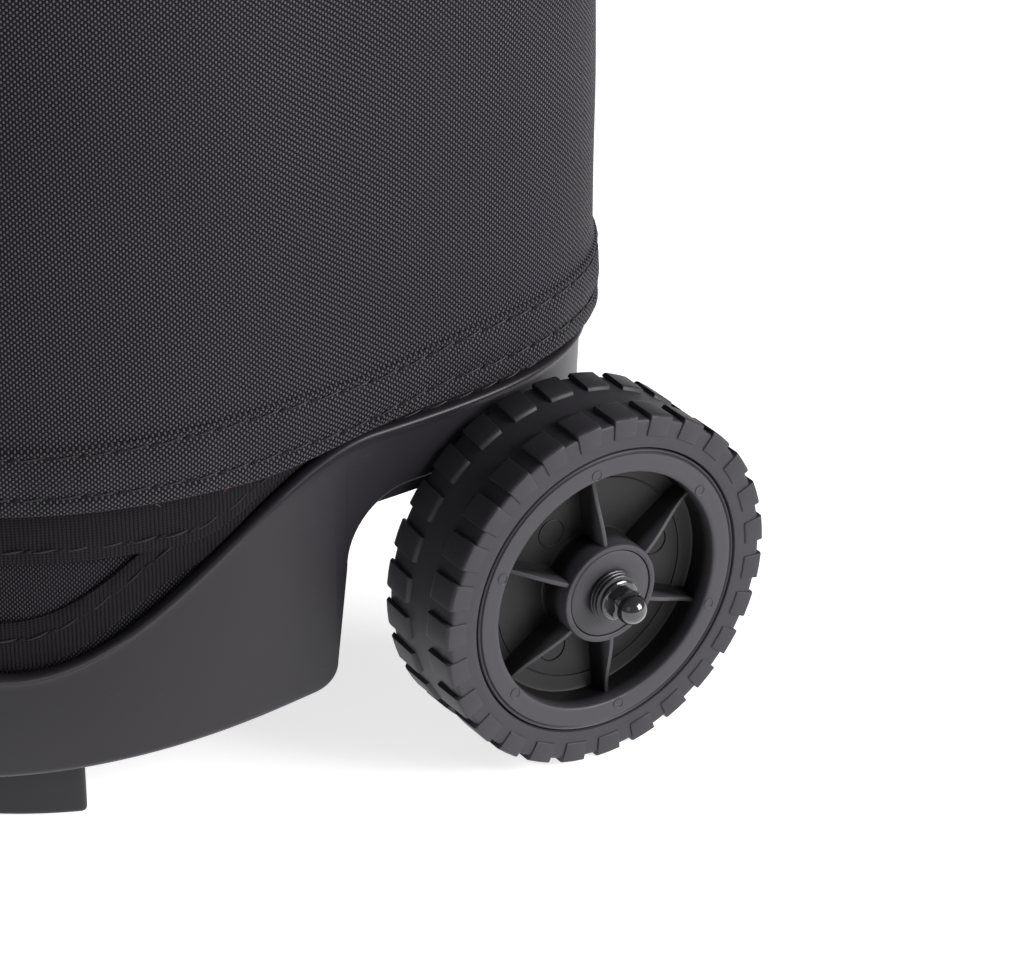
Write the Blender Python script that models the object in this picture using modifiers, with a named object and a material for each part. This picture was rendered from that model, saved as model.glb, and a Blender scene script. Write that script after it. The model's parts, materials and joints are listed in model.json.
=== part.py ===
"""Portable tennis ball machine: a soft cover on a moulded tub with two wheels and a telescopic handle.

Metres, +Z up, origin on the ground under the middle of the machine. The balls leave towards -Y, the
wheels and the pull-out handle are at +Y, and the controls are on the -X side.
"""

import math

import bmesh
import bpy
from mathutils import Matrix, Vector

# Overall size
TOTAL_HEIGHT = 0.864
BODY_HALF_WIDTH = 0.189
BODY_FRONT = 0.190
BODY_REAR = 0.185
FRONT_ROUNDNESS = 2.2  # superellipse powers: 2 is an ellipse, 4 is nearly a rectangle
REAR_ROUNDNESS = 3.9
OUTLINE_STEPS = 40

# Clearances
TOUCH = 0.0003  # between pieces that rest on each other
RUN = 0.0005  # between a turning or sliding piece and its seat
CUT = 0.02  # how far a cutter runs past what it cuts

# Moulded tub
TUB_INSET = 0.006
TUB_WALL = 0.003
LIP_LOW = 0.0755
LIP_HIGH = 0.150
LIP_RISE_START = -0.114
LIP_RISE_END = 0.037
BELLY_HEIGHT = 0.0389  # underside above the ground at y = 0
BELLY_SLOPE = 0.095
ARCH_FRONT_LOW = 0.0195
ARCH_FRONT_HIGH = 0.0245
ARCH_TOP = 0.121
ARCH_RADIUS = 0.030
BELLY_CORNER = 0.010
FOOT_INSET = 0.024
FOOT_WIDTH = 0.020
FOOT_REAR = -0.077

# Running gear
TYRE_RADIUS = 0.075
TYRE_WIDTH = 0.0445
TYRE_GAP = 0.0005  # between the tub's wall and the tyre
TYRE_CHAMFER = 0.003
RIM_RADIUS = 0.060
RIM_HOLE_RADIUS = 0.0508
HUB_RADIUS = 0.0211
HUB_PROUD = 0.002
WEB_DEPTH = 0.013
WEB_THICKNESS = 0.004
SPOKES = 6
SPOKE_WIDTH = 0.003
BUSH_RADIUS = 0.012
BUSH_FLANGE_RADIUS = 0.0183
BUSH_FLANGE = 0.002
AXLE_RADIUS = 0.004
WASHER_RADIUS = 0.0105
WASHER_STACK = 0.005
NUT_FLATS = 0.013
NUT_HEX_LENGTH = 0.0065
DOME_RADIUS = 0.00625
DOME_OFFSET = 0.0138  # dome centre beyond the hub's face
BRACKET_INSET = (0.039, 0.019)  # of its two faces, from the body's side
BRACKET_HALF_LENGTH = 0.025
BOSS_RADIUS = 0.010

# Soft goods
COVER_THICKNESS = 0.005
HEM_FRONT = 0.147
HEM_REAR = 0.156
HEM_RISE_START = -0.020
HEM_RISE_END = 0.060
LINER_GAP = 0.0005
LINER_THICKNESS = 0.002
LINER_TOP = 0.220

# Inner frame and hopper
FRAME_INSET = 0.064
FRAME_TUBE = 0.008
FRAME_Y = 0.110
FRAME_BEND = 0.040
HOPPER_FLOOR = 0.545
HOPPER_WALL = 0.003
HOPPER_INSET = 0.012
HOPPER_REAR_INSET = 0.0385
LID_THICKNESS = 0.0254
LID_REAR_THICKNESS = 0.012
LID_SLOPE_LENGTH = 0.045
LID_BARREL = 0.005
LID_LEAF_X = (0.110, 0.130)
LID_KNUCKLE_X = (0.1305, 0.143)
TOP_FRAME_THICKNESS = 0.005
TOP_FRAME_LEDGE = 0.018

# Ball path
BALL_RADIUS = 0.0335
PATH_CLEARANCE = 0.0045
PATH_WALL = 0.003
DROP_Y = 0.095
LAUNCH_HEIGHT = 0.360
LAUNCH_Y = -0.055
CHUTE_END_Y = 0.026

# Launcher
LAUNCH_WHEEL_RADIUS = 0.045
LAUNCH_WHEEL_WIDTH = 0.050
BALL_SQUEEZE = 0.012
PLATE_GAP = 0.002  # between the ball's path and each plate
PLATE_THICKNESS = 0.004
PLATE_FRONT = 0.047
PLATE_REAR = 0.025
PLATE_OVERHANG = 0.0225
SHAFT_RADIUS = 0.004
TRUNNION_RADIUS = 0.006
LAUNCH_TUBE_LENGTH = 0.069
MOTOR_RADIUS = 0.021
MOTOR_LENGTH = 0.060
WINDOW_HALF_WIDTH = 0.075
WINDOW_LOW = 0.285
WINDOW_HIGH = 0.475
BEZEL_BORDER = 0.012
BEZEL_DEPTH = 0.010

# Gears
GEAR_MODULE = 0.002
SECTOR_TEETH = 60
PINION_TEETH = 12
FEED_GEAR_TEETH = 48
GEAR_WIDTH = 0.006
SECTOR_INSET = 0.022  # from the side frame's middle

# Feeder
ROTOR_RADIUS = 0.135
ROTOR_HEIGHT = 0.042
ROTOR_HUB_RADIUS = 0.025
ROTOR_ARMS = 5
ROTOR_ARM_WIDTH = 0.006
FEED_SHAFT_RADIUS = 0.005
FEED_GEAR_DROP = 0.0115

# Controls
PANEL_PROUD = 0.003
PANEL_DEPTH = 0.027
PANEL_WALL = 0.003
PANEL_Y = (-0.085, 0.045)
PANEL_Z = (0.235, 0.345)
SPEED_KNOB_AT = (-0.012, 0.315)
INTERVAL_KNOB_AT = (0.024, 0.315)
SWITCH_AT = (0.008, 0.262)
KNOB_RADIUS = 0.012
KNOB_LENGTH = 0.012
ELEVATION_KNOB_RADIUS = 0.018
SWITCH_SIZE = (0.007, 0.024, 0.014)

# Pull-out handle
HANDLE_X = 0.060
HANDLE_INSET = 0.022
WELL_HALF_WIDTH = 0.0905
WELL_DEPTH = 0.094
TRAY_REAR_INSET = 0.0055
CHANNEL_RADIUS = 0.010
TUBE_WALL = 0.0014
CHANNEL_BOTTOM = 0.400
GRIP_SIZE = (0.150, 0.022, 0.024)
GRIP_ABOVE_WELL = 0.032
BUTTON_SIZE = (0.030, 0.010, 0.006)
BUTTON_PROUD = 0.002
TUBE_STEP = 0.020  # each stage starts this much above the one round it

# Battery and board
BATTERY_SIZE = (0.150, 0.070, 0.065)
BATTERY_REAR = -0.030
BOARD_FRONT = -0.035
BOARD_MARGIN = 0.010
BOARD_THICKNESS = 0.0016

# Values that follow
TYRE_OUTER_X = BODY_HALF_WIDTH - TUB_INSET + TYRE_GAP + TYRE_WIDTH
BRACKET_X = tuple(BODY_HALF_WIDTH - inset for inset in BRACKET_INSET)
FRAME_X = BODY_HALF_WIDTH - FRAME_INSET
SECTOR_X = SECTOR_INSET - FRAME_X
PANEL_X = -BODY_HALF_WIDTH - PANEL_PROUD
HOPPER_REAR = BODY_REAR - HOPPER_REAR_INSET
HANDLE_Y = BODY_REAR - HANDLE_INSET
WELL_FLOOR = TOTAL_HEIGHT - WELL_DEPTH
GRIP_BOTTOM = WELL_FLOOR + GRIP_ABOVE_WELL
AXLE_Y = BODY_FRONT - TYRE_RADIUS
AXLE_Z = TYRE_RADIUS
LID_BOTTOM = TOTAL_HEIGHT - LID_THICKNESS
TOP_FRAME_TOP = LID_BOTTOM - TOUCH
COVER_TOP = TOP_FRAME_TOP - TOP_FRAME_THICKNESS - TOUCH
PATH_RADIUS = BALL_RADIUS + PATH_CLEARANCE
PLATE_X = PATH_RADIUS + PLATE_GAP
LAUNCH_SPREAD = BALL_RADIUS - BALL_SQUEEZE / 2 + LAUNCH_WHEEL_RADIUS
SECTOR_RADIUS = GEAR_MODULE * SECTOR_TEETH / 2
PINION_RADIUS = GEAR_MODULE * PINION_TEETH / 2
FEED_GEAR_RADIUS = GEAR_MODULE * FEED_GEAR_TEETH / 2

ALONG_X = (math.pi / 2, 0, math.pi / 2)  # an outline drawn in (y, z) and extruded along X
ALONG_Y = (math.pi / 2, 0, 0)  # an outline drawn in (x, z) and extruded along Y
TURN_X = (0, math.pi / 2, 0)  # a turned shape whose axis lies along +X
TURN_Y = (-math.pi / 2, 0, 0)  # a turned shape whose axis lies along +Y


def clear_scene():
    for old in list(bpy.data.objects):
        bpy.data.objects.remove(old, do_unlink=True)


def new_collection(name, hidden=False):
    collection = bpy.data.collections.new(name)
    bpy.context.scene.collection.children.link(collection)
    collection.hide_render = hidden
    return collection


def finish(name, colour, roughness, metallic=0.0):
    material = bpy.data.materials.new(name)
    material.use_nodes = True
    shader = material.node_tree.nodes["Principled BSDF"]
    shader.inputs["Base Color"].default_value = (*colour, 1)
    shader.inputs["Roughness"].default_value = roughness
    shader.inputs["Metallic"].default_value = metallic
    material.diffuse_color = (*colour, 1)
    return material


# Outlines


def outline(inset, rear_limit=None):
    """The plan of the machine, moved in by inset, and cut straight at rear_limit."""
    points = []
    for step in range(OUTLINE_STEPS):
        angle = 2 * math.pi * step / OUTLINE_STEPS
        c, s = math.cos(angle), math.sin(angle)
        power = 2 / (REAR_ROUNDNESS if s > 0 else FRONT_ROUNDNESS)
        depth = (BODY_REAR if s > 0 else BODY_FRONT) - inset
        x = math.copysign(abs(c) ** power, c) * (BODY_HALF_WIDTH - inset)
        points.append((x, math.copysign(abs(s) ** power, s) * depth))
    return points if rear_limit is None else cut_straight(points, rear_limit)


def cut_straight(points, limit):
    """The outline's points up to y = limit, with a corner where each side crosses it."""
    kept = []
    for (x0, y0), (x1, y1) in zip(points, points[1:] + points[:1]):
        if y0 <= limit:
            kept.append((x0, y0))
        if (y0 - limit) * (y1 - limit) < 0:
            kept.append((x0 + (x1 - x0) * (limit - y0) / (y1 - y0), limit))
    return kept


def circle(radius, centre=(0, 0), steps=24):
    turns = [2 * math.pi * step / steps for step in range(steps)]
    return [(centre[0] + radius * math.cos(a), centre[1] + radius * math.sin(a)) for a in turns]


def rectangle(low, high):
    return [low, (high[0], low[1]), high, (low[0], high[1])]


def rounded(corners, steps=6):
    """A closed outline from (u, v, radius) corners, each turned into an arc of its radius."""
    points = []
    for index, (u, v, radius) in enumerate(corners):
        corner = Vector((u, v))
        before = (Vector(corners[index - 1][:2]) - corner).normalized()
        after = (Vector(corners[(index + 1) % len(corners)][:2]) - corner).normalized()
        if radius <= 0:
            points.append(tuple(corner))
            continue
        half = before.angle(after) / 2
        centre = corner + (before + after).normalized() * radius / math.sin(half)
        start = corner + before * radius / math.tan(half) - centre
        sweep = start.angle_signed(corner + after * radius / math.tan(half) - centre)
        for step in range(steps + 1):
            turned = start.copy()
            turned.rotate(Matrix.Rotation(-sweep * step / steps, 2))
            points.append(tuple(centre + turned))
    return points


def smooth(value, start, end):
    share = min(max((value - start) / (end - start), 0), 1)
    return share * share * (3 - 2 * share)


def lip_height(y):
    return LIP_LOW + (LIP_HIGH - LIP_LOW) * smooth(y, LIP_RISE_START, LIP_RISE_END)


def hem_height(y):
    return HEM_FRONT + (HEM_REAR - HEM_FRONT) * smooth(y, HEM_RISE_START, HEM_RISE_END)


def belly_height(y):
    return BELLY_HEIGHT + BELLY_SLOPE * y


def edge_curve(height, start, end, steps=12):
    """(y, z) points along an edge that rises from start to end and is level beyond."""
    inner = [start + (end - start) * step / steps for step in range(steps + 1)]
    stations = [-BODY_FRONT - CUT, *inner, BODY_REAR + CUT]
    return [(y, height(y)) for y in stations]


def underside(offset):
    """The side view of the space below the tub, its upper edges moved by offset into the tub."""
    front, rear = -BODY_FRONT - CUT, BODY_REAR + CUT
    low = ARCH_FRONT_LOW - offset
    return rounded([
        (front, belly_height(front) + offset, 0),
        (low, belly_height(low) + offset, max(BELLY_CORNER - offset, 0.001)),
        (ARCH_FRONT_HIGH - offset, ARCH_TOP + offset, ARCH_RADIUS + offset),
        (rear, ARCH_TOP + offset, 0),
        (rear, -CUT, 0),
        (front, -CUT, 0),
    ])


def gear_outline(teeth, phase=0.0):
    """Straight-flanked teeth, with backlash, the first tooth centred on the angle phase."""
    pitch_radius = GEAR_MODULE * teeth / 2
    tip, root = pitch_radius + 0.8 * GEAR_MODULE, pitch_radius - 1.2 * GEAR_MODULE
    tip_half = 0.34 * GEAR_MODULE / tip
    root_half = 1.0 * GEAR_MODULE / root
    points = []
    for tooth in range(teeth):
        middle = phase + 2 * math.pi * tooth / teeth
        for radius, turn in ((root, -root_half), (tip, -tip_half), (tip, tip_half), (root, root_half)):
            points.append((radius * math.cos(middle + turn), radius * math.sin(middle + turn)))
    return points


# Solids


def register(obj, material=None):
    home = CUTTERS if material is None else PARTS
    home.objects.link(obj)
    if material is None:
        obj.hide_render = True
        obj.display_type = "WIRE"
    else:
        obj.data.materials.append(material)
        obj.data.shade_smooth()
        obj.data.set_sharp_from_angle(angle=math.radians(35))
    return obj


def extruded(name, loops, thickness, location=(0, 0, 0), rotation=(0, 0, 0), material=None):
    """A flat outline, with holes, as a 2D curve extruded both ways from its plane, made a mesh."""
    curve = bpy.data.curves.new(name, "CURVE")
    curve.dimensions = "2D"
    curve.fill_mode = "BOTH"
    curve.extrude = thickness / 2
    for loop in loops:
        spline = curve.splines.new("POLY")
        spline.points.add(len(loop) - 1)
        for point, (u, v) in zip(spline.points, loop):
            point.co = (u, v, 0, 1)
        spline.use_cyclic_u = True
    return from_curve(name, curve, location, rotation, material)


def from_curve(name, curve, location=(0, 0, 0), rotation=(0, 0, 0), material=None):
    """Makes a curve a mesh object with its caps welded, and removes the curve."""
    holder = bpy.data.objects.new(name + "_curve", curve)
    bpy.context.scene.collection.objects.link(holder)
    bpy.context.view_layer.update()
    mesh = bpy.data.meshes.new_from_object(holder.evaluated_get(bpy.context.evaluated_depsgraph_get()))
    bpy.data.objects.remove(holder, do_unlink=True)
    shape = bmesh.new()
    shape.from_mesh(mesh)
    bmesh.ops.remove_doubles(shape, verts=shape.verts, dist=1e-6)
    bmesh.ops.recalc_face_normals(shape, faces=shape.faces)
    shape.to_mesh(mesh)
    shape.free()
    mesh.name = name
    mesh.materials.clear()
    obj = bpy.data.objects.new(name, mesh)
    obj.location = location
    obj.rotation_euler = rotation
    return register(obj, material)


def upright(name, loops, low, high, material=None):
    """A plan outline between two heights."""
    return extruded(name, loops, high - low, (0, 0, (low + high) / 2), material=material)


def across(name, loops, left, right, material=None):
    """A side-view outline, in (y, z), between two places on X."""
    return extruded(name, loops, right - left, ((left + right) / 2, 0, 0), ALONG_X, material)


def along(name, loops, front, rear, material=None):
    """A front-view outline, in (x, z), between two places on Y."""
    return extruded(name, loops, rear - front, (0, (front + rear) / 2, 0), ALONG_Y, material)


def block(name, low, high, material=None, edge=0.0):
    """A box between two corners, its edges rounded by edge."""
    size = [b - a for a, b in zip(low, high)]
    middle = [(a + b) / 2 for a, b in zip(low, high)]
    mesh = bpy.data.meshes.new(name)
    shape = bmesh.new()
    bmesh.ops.create_cube(shape, size=1, matrix=Matrix.Diagonal((*size, 1)))
    shape.to_mesh(mesh)
    shape.free()
    obj = bpy.data.objects.new(name, mesh)
    obj.location = middle
    register(obj, material)
    if edge:
        bevel(obj, edge)
    return obj


def turned(name, profile, location=(0, 0, 0), rotation=(0, 0, 0), material=None, steps=32):
    """A shape turned about its local Z from an (r, z) profile that runs down its outer side.

    A profile that starts and ends on the axis stays open, and any other is closed into a ring.
    """
    mesh = bpy.data.meshes.new(name)
    shape = bmesh.new()
    points = [shape.verts.new((r, 0, z)) for r, z in profile]
    on_axis = profile[0][0] == 0 and profile[-1][0] == 0
    pairs = list(zip(points, points[1:])) + ([] if on_axis else [(points[-1], points[0])])
    for pair in pairs:
        shape.edges.new(pair)
    shape.to_mesh(mesh)
    shape.free()
    obj = bpy.data.objects.new(name, mesh)
    obj.location = location
    obj.rotation_euler = rotation
    screw = obj.modifiers.new("turn", "SCREW")
    screw.axis = "Z"
    screw.steps = screw.render_steps = steps
    screw.use_merge_vertices = True
    screw.merge_threshold = 1e-5
    return register(obj, material)


def rod(name, radius, start, end, rotation, location=(0, 0, 0), material=None, steps=16):
    """A round bar on its local Z axis from start to end."""
    profile = [(0, end), (radius, end), (radius, start), (0, start)]
    return turned(name, profile, location, rotation, material, steps)


def tube(name, outer, inner, low, high, location, rotation=(0, 0, 0), material=None, steps=16):
    profile = [(outer, high), (outer, low), (inner, low), (inner, high)]
    return turned(name, profile, location, rotation, material, steps)


def bent_bar(name, points, radius, material):
    curve = bpy.data.curves.new(name, "CURVE")
    curve.dimensions = "3D"
    curve.bevel_depth = radius
    curve.bevel_resolution = 2
    curve.use_fill_caps = True
    spline = curve.splines.new("POLY")
    spline.points.add(len(points) - 1)
    for point, place in zip(spline.points, points):
        point.co = (*place, 1)
    return from_curve(name, curve, material=material)


def bevel(obj, width, segments=2):
    modifier = obj.modifiers.new("edges", "BEVEL")
    modifier.width = width
    modifier.segments = segments
    modifier.limit_method = "ANGLE"
    return obj


def combine(obj, operation, *others):
    for other in others:
        modifier = obj.modifiers.new(operation.lower() + "_" + other.name, "BOOLEAN")
        modifier.operation = operation
        modifier.object = other
    return obj


def cut(obj, *others):
    return combine(obj, "DIFFERENCE", *others)


def join(obj, *others):
    return combine(obj, "UNION", *others)


def pivot(name, location):
    """An empty on a joint's axis, which the moving pieces hang from."""
    empty = bpy.data.objects.new(name, None)
    empty.location = location
    empty.empty_display_size = 0.02
    PARTS.objects.link(empty)
    return empty


def hang(empty, *pieces):
    for piece in pieces:
        piece.parent = empty
        piece.matrix_parent_inverse = Matrix.Translation(empty.location).inverted()


# Base


def make_tub():
    tub = upright("base_tub", [outline(TUB_INSET)], 0, LIP_HIGH + CUT, PLASTIC)
    width = BODY_HALF_WIDTH + CUT
    below = across("cut_below_tub", [underside(0)], -width, width)
    rim = edge_curve(lip_height, LIP_RISE_START, LIP_RISE_END)
    roof = LIP_HIGH + 2 * CUT
    above = across("cut_above_lip", [[*rim, (rim[-1][0], roof), (rim[0][0], roof)]], -width, width)
    hollow = upright("cut_tub_hollow", [outline(TUB_INSET + TUB_WALL)], -CUT / 2, roof + CUT)
    floor = across("tub_floor_block", [underside(TUB_WALL)], -width - CUT, width + CUT)
    cut(hollow, floor)
    cut(tub, below, above, hollow)


def make_foot():
    outer = cut_straight(outline(FOOT_INSET), FOOT_REAR)
    inner = cut_straight(outline(FOOT_INSET + FOOT_WIDTH), FOOT_REAR)
    foot = upright("front_foot", [outer + inner[::-1]], 0, BELLY_HEIGHT, RUBBER)
    ends = (-BODY_FRONT - CUT, BODY_REAR)
    slope = [(y, belly_height(y) - TOUCH) for y in ends] + [(y, 2 * BELLY_HEIGHT) for y in ends[::-1]]
    cut(foot, across("cut_foot_top", [slope], -BODY_HALF_WIDTH, BODY_HALF_WIDTH))


def make_axle():
    hub_face = TYRE_OUTER_X + HUB_PROUD
    rod("axle", AXLE_RADIUS, -hub_face - DOME_OFFSET, hub_face + DOME_OFFSET, TURN_X,
        (0, AXLE_Y, AXLE_Z), STEEL)
    for side, label in ((-1, "left"), (1, "right")):
        make_bracket(side, label)
        make_fasteners(side, label, hub_face)


def make_bracket(side, label):
    low = AXLE_Z - BOSS_RADIUS - 0.004
    half = BRACKET_HALF_LENGTH
    shape = rounded([
        (AXLE_Y - half, ARCH_TOP - TOUCH, 0),
        (AXLE_Y - half * 0.6, low, 0.008),
        (AXLE_Y + half * 0.6, low, 0.008),
        (AXLE_Y + half, ARCH_TOP - TOUCH, 0),
    ], steps=3)
    left, right = sorted(side * x for x in BRACKET_X)
    bore = circle(AXLE_RADIUS + RUN, (AXLE_Y, AXLE_Z), 16)
    bracket = across(f"axle_bracket_{label}", [shape, bore], left, right, PLASTIC)
    wheel_face = TYRE_OUTER_X - TYRE_WIDTH - RUN
    ends = sorted(side * x for x in (BRACKET_X[1] - 0.002, wheel_face))
    boss = tube(f"boss_{label}", BOSS_RADIUS, AXLE_RADIUS + RUN, ends[0], ends[1],
                (0, AXLE_Y, AXLE_Z), TURN_X, steps=16)
    join(bracket, boss)


def make_fasteners(side, label, hub_face):
    turn = (0, side * math.pi / 2, 0)
    place = (0, AXLE_Y, AXLE_Z)
    start = hub_face + TOUCH
    end = hub_face + WASHER_STACK
    groove = WASHER_RADIUS - 0.0008
    middle = (start + end) / 2
    bore = AXLE_RADIUS + RUN
    turned(f"washer_{label}", [
        (WASHER_RADIUS, end), (WASHER_RADIUS, middle + 0.0004), (groove, middle),
        (WASHER_RADIUS, middle - 0.0004), (WASHER_RADIUS, start), (bore, start), (bore, end),
    ], place, turn, BLACK_STEEL, 16)
    hex_start = end + TOUCH
    hex_end = hex_start + NUT_HEX_LENGTH
    hexagon = circle(NUT_FLATS / math.sqrt(3), (AXLE_Y, AXLE_Z), 6)
    left, right = sorted(side * x for x in (hex_start, hex_end))
    nut = across(f"cap_nut_{label}", [hexagon], left, right, GLOSS_STEEL)
    centre = hub_face + DOME_OFFSET
    bend = [math.pi / 2 * step / 3 for step in range(4)]
    dome = turned(f"dome_{label}", [
        *[(DOME_RADIUS * math.sin(a), centre + DOME_RADIUS * math.cos(a)) for a in bend],
        (DOME_RADIUS, hex_end - 0.001), (0, hex_end - 0.001),
    ], place, turn, steps=12)
    drill = rod(f"drill_{label}", AXLE_RADIUS + RUN, hex_start - CUT, centre + TOUCH + RUN, turn, place)
    cut(join(nut, dome), drill)


def make_wheel(side, label):
    """One wheel about its own axis, its outer face towards side."""
    turn = (0, side * math.pi / 2, 0)
    centre = (0, AXLE_Y, AXLE_Z)
    outer, inner = TYRE_OUTER_X, TYRE_OUTER_X - TYRE_WIDTH
    chamfer, seat = TYRE_CHAMFER, RIM_RADIUS + TOUCH
    tyre = turned(f"tyre_{label}", [
        (TYRE_RADIUS - chamfer, outer), (TYRE_RADIUS, outer - chamfer), (TYRE_RADIUS, inner + chamfer),
        (TYRE_RADIUS - chamfer, inner), (seat, inner), (seat, outer),
    ], centre, turn, TYRE, 32)
    face = outer - HUB_PROUD
    web_top = face - WEB_DEPTH
    web_bottom = web_top - WEB_THICKNESS
    hub_face = outer + HUB_PROUD
    bore, counterbore = BUSH_RADIUS + TOUCH, BUSH_FLANGE_RADIUS + TOUCH
    flange_seat = hub_face - BUSH_FLANGE - TOUCH
    rim = turned(f"rim_{label}", [
        (RIM_RADIUS, face), (RIM_RADIUS, inner + HUB_PROUD), (RIM_HOLE_RADIUS, inner + HUB_PROUD),
        (RIM_HOLE_RADIUS - 0.003, web_bottom), (HUB_RADIUS, web_bottom), (HUB_RADIUS, inner),
        (bore, inner), (bore, flange_seat), (counterbore, flange_seat), (counterbore, hub_face),
        (HUB_RADIUS, hub_face), (HUB_RADIUS, web_top), (RIM_HOLE_RADIUS - 0.002, web_top),
        (RIM_HOLE_RADIUS, face),
    ], centre, turn, PLASTIC, 24)
    for spoke in range(SPOKES):
        join(rim, make_spoke(side, label, spoke, face, web_top))
    bush = turned(f"hub_bush_{label}", [
        (BUSH_FLANGE_RADIUS, hub_face - TOUCH), (BUSH_FLANGE_RADIUS, flange_seat + TOUCH),
        (BUSH_RADIUS, flange_seat + TOUCH), (BUSH_RADIUS, inner),
        (AXLE_RADIUS + RUN, inner), (AXLE_RADIUS + RUN, hub_face - TOUCH),
    ], centre, turn, PLASTIC, 16)
    hang(pivot(f"wheel_pivot_{label}", centre), tyre, rim, bush)


def make_spoke(side, label, index, face, web_top):
    spoke = block(f"spoke_{label}_{index}",
                  (HUB_RADIUS - 0.002, -SPOKE_WIDTH / 2, web_top - 0.001),
                  (RIM_HOLE_RADIUS + 0.001, SPOKE_WIDTH / 2, face - 0.004))
    turn = Matrix.Rotation(side * math.pi / 2, 4, "Y")
    lift = spoke.location.copy()
    around = Matrix.Rotation(2 * math.pi * (index + 0.5) / SPOKES, 4, "Z")
    spoke.matrix_basis = Matrix.Translation((0, AXLE_Y, AXLE_Z)) @ turn @ around @ Matrix.Translation(lift)
    return spoke


# Frame, hopper and soft goods


def make_side_frames():
    top = HOPPER_FLOOR - FRAME_TUBE - TOUCH
    for side, label in ((-1, "left"), (1, "right")):
        path = rounded([
            (-FRAME_Y, belly_height(-FRAME_Y) + TUB_WALL + 2 * FRAME_TUBE * BELLY_SLOPE + TOUCH, 0),
            (-FRAME_Y, top, FRAME_BEND),
            (FRAME_Y, top, FRAME_BEND),
            (FRAME_Y, ARCH_TOP + TUB_WALL + TOUCH, 0),
        ], steps=5)
        bent_bar(f"side_frame_{label}", [(side * FRAME_X, y, z) for y, z in path], FRAME_TUBE, STEEL)


def make_hopper():
    drop = circle(PATH_RADIUS + RUN, (0, DROP_Y))
    shaft = circle(FEED_SHAFT_RADIUS + RUN, steps=16)
    hopper = upright("hopper", [outline(HOPPER_INSET, HOPPER_REAR), drop, shaft], HOPPER_FLOOR, COVER_TOP,
                     GREY_PLASTIC)
    cut(hopper, upright("cut_hopper", [outline(HOPPER_INSET + HOPPER_WALL, HOPPER_REAR - HOPPER_WALL)],
                        HOPPER_FLOOR + HOPPER_WALL, COVER_TOP + CUT))


def make_top_frame():
    opening = outline(TOP_FRAME_LEDGE, HOPPER_REAR - HOPPER_WALL - 0.002)
    frame = upright("top_frame", [outline(0.001), opening], COVER_TOP + TOUCH, TOP_FRAME_TOP, PLASTIC)
    cut(frame, well_block("cut_frame_well", COVER_TOP - CUT))


def well_block(name, low, margin=0.0):
    """The space that the stowed grip stands in, open to the rear and the top."""
    half = WELL_HALF_WIDTH + margin
    return block(name, (-half, HOPPER_REAR + 0.001 - margin, low), (half, BODY_REAR + CUT, TOTAL_HEIGHT))


def make_cover():
    cover = upright("bag_cover", [outline(0), outline(COVER_THICKNESS)], 0, COVER_TOP, FABRIC)
    hem = edge_curve(hem_height, HEM_RISE_START, HEM_RISE_END, 6)
    width = BODY_HALF_WIDTH + CUT
    below = [*hem, (hem[-1][0], -CUT), (hem[0][0], -CUT)]
    border = BEZEL_BORDER + TOUCH
    window = block("cut_window",
                   (-WINDOW_HALF_WIDTH - border, -BODY_FRONT - CUT, WINDOW_LOW - border),
                   (WINDOW_HALF_WIDTH + border, 0, WINDOW_HIGH + border))
    panel = block("cut_panel", (-width, PANEL_Y[0] - TOUCH, PANEL_Z[0] - TOUCH),
                  (0, PANEL_Y[1] + TOUCH, PANEL_Z[1] + TOUCH))
    well = well_block("cut_cover_well", WELL_FLOOR - PLATE_THICKNESS - TOUCH)
    cut(cover, across("cut_below_hem", [below], -width, width), window, panel, well)


def make_liner():
    start = TUB_INSET + TUB_WALL + LINER_GAP
    liner = upright("inner_liner", [outline(start), outline(start + LINER_THICKNESS)], 0, LINER_TOP, FABRIC)
    floor = across("cut_liner", [underside(TUB_WALL + 2 * TOUCH)], -BODY_HALF_WIDTH - CUT,
                   BODY_HALF_WIDTH + CUT)
    cut(liner, floor)


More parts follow.
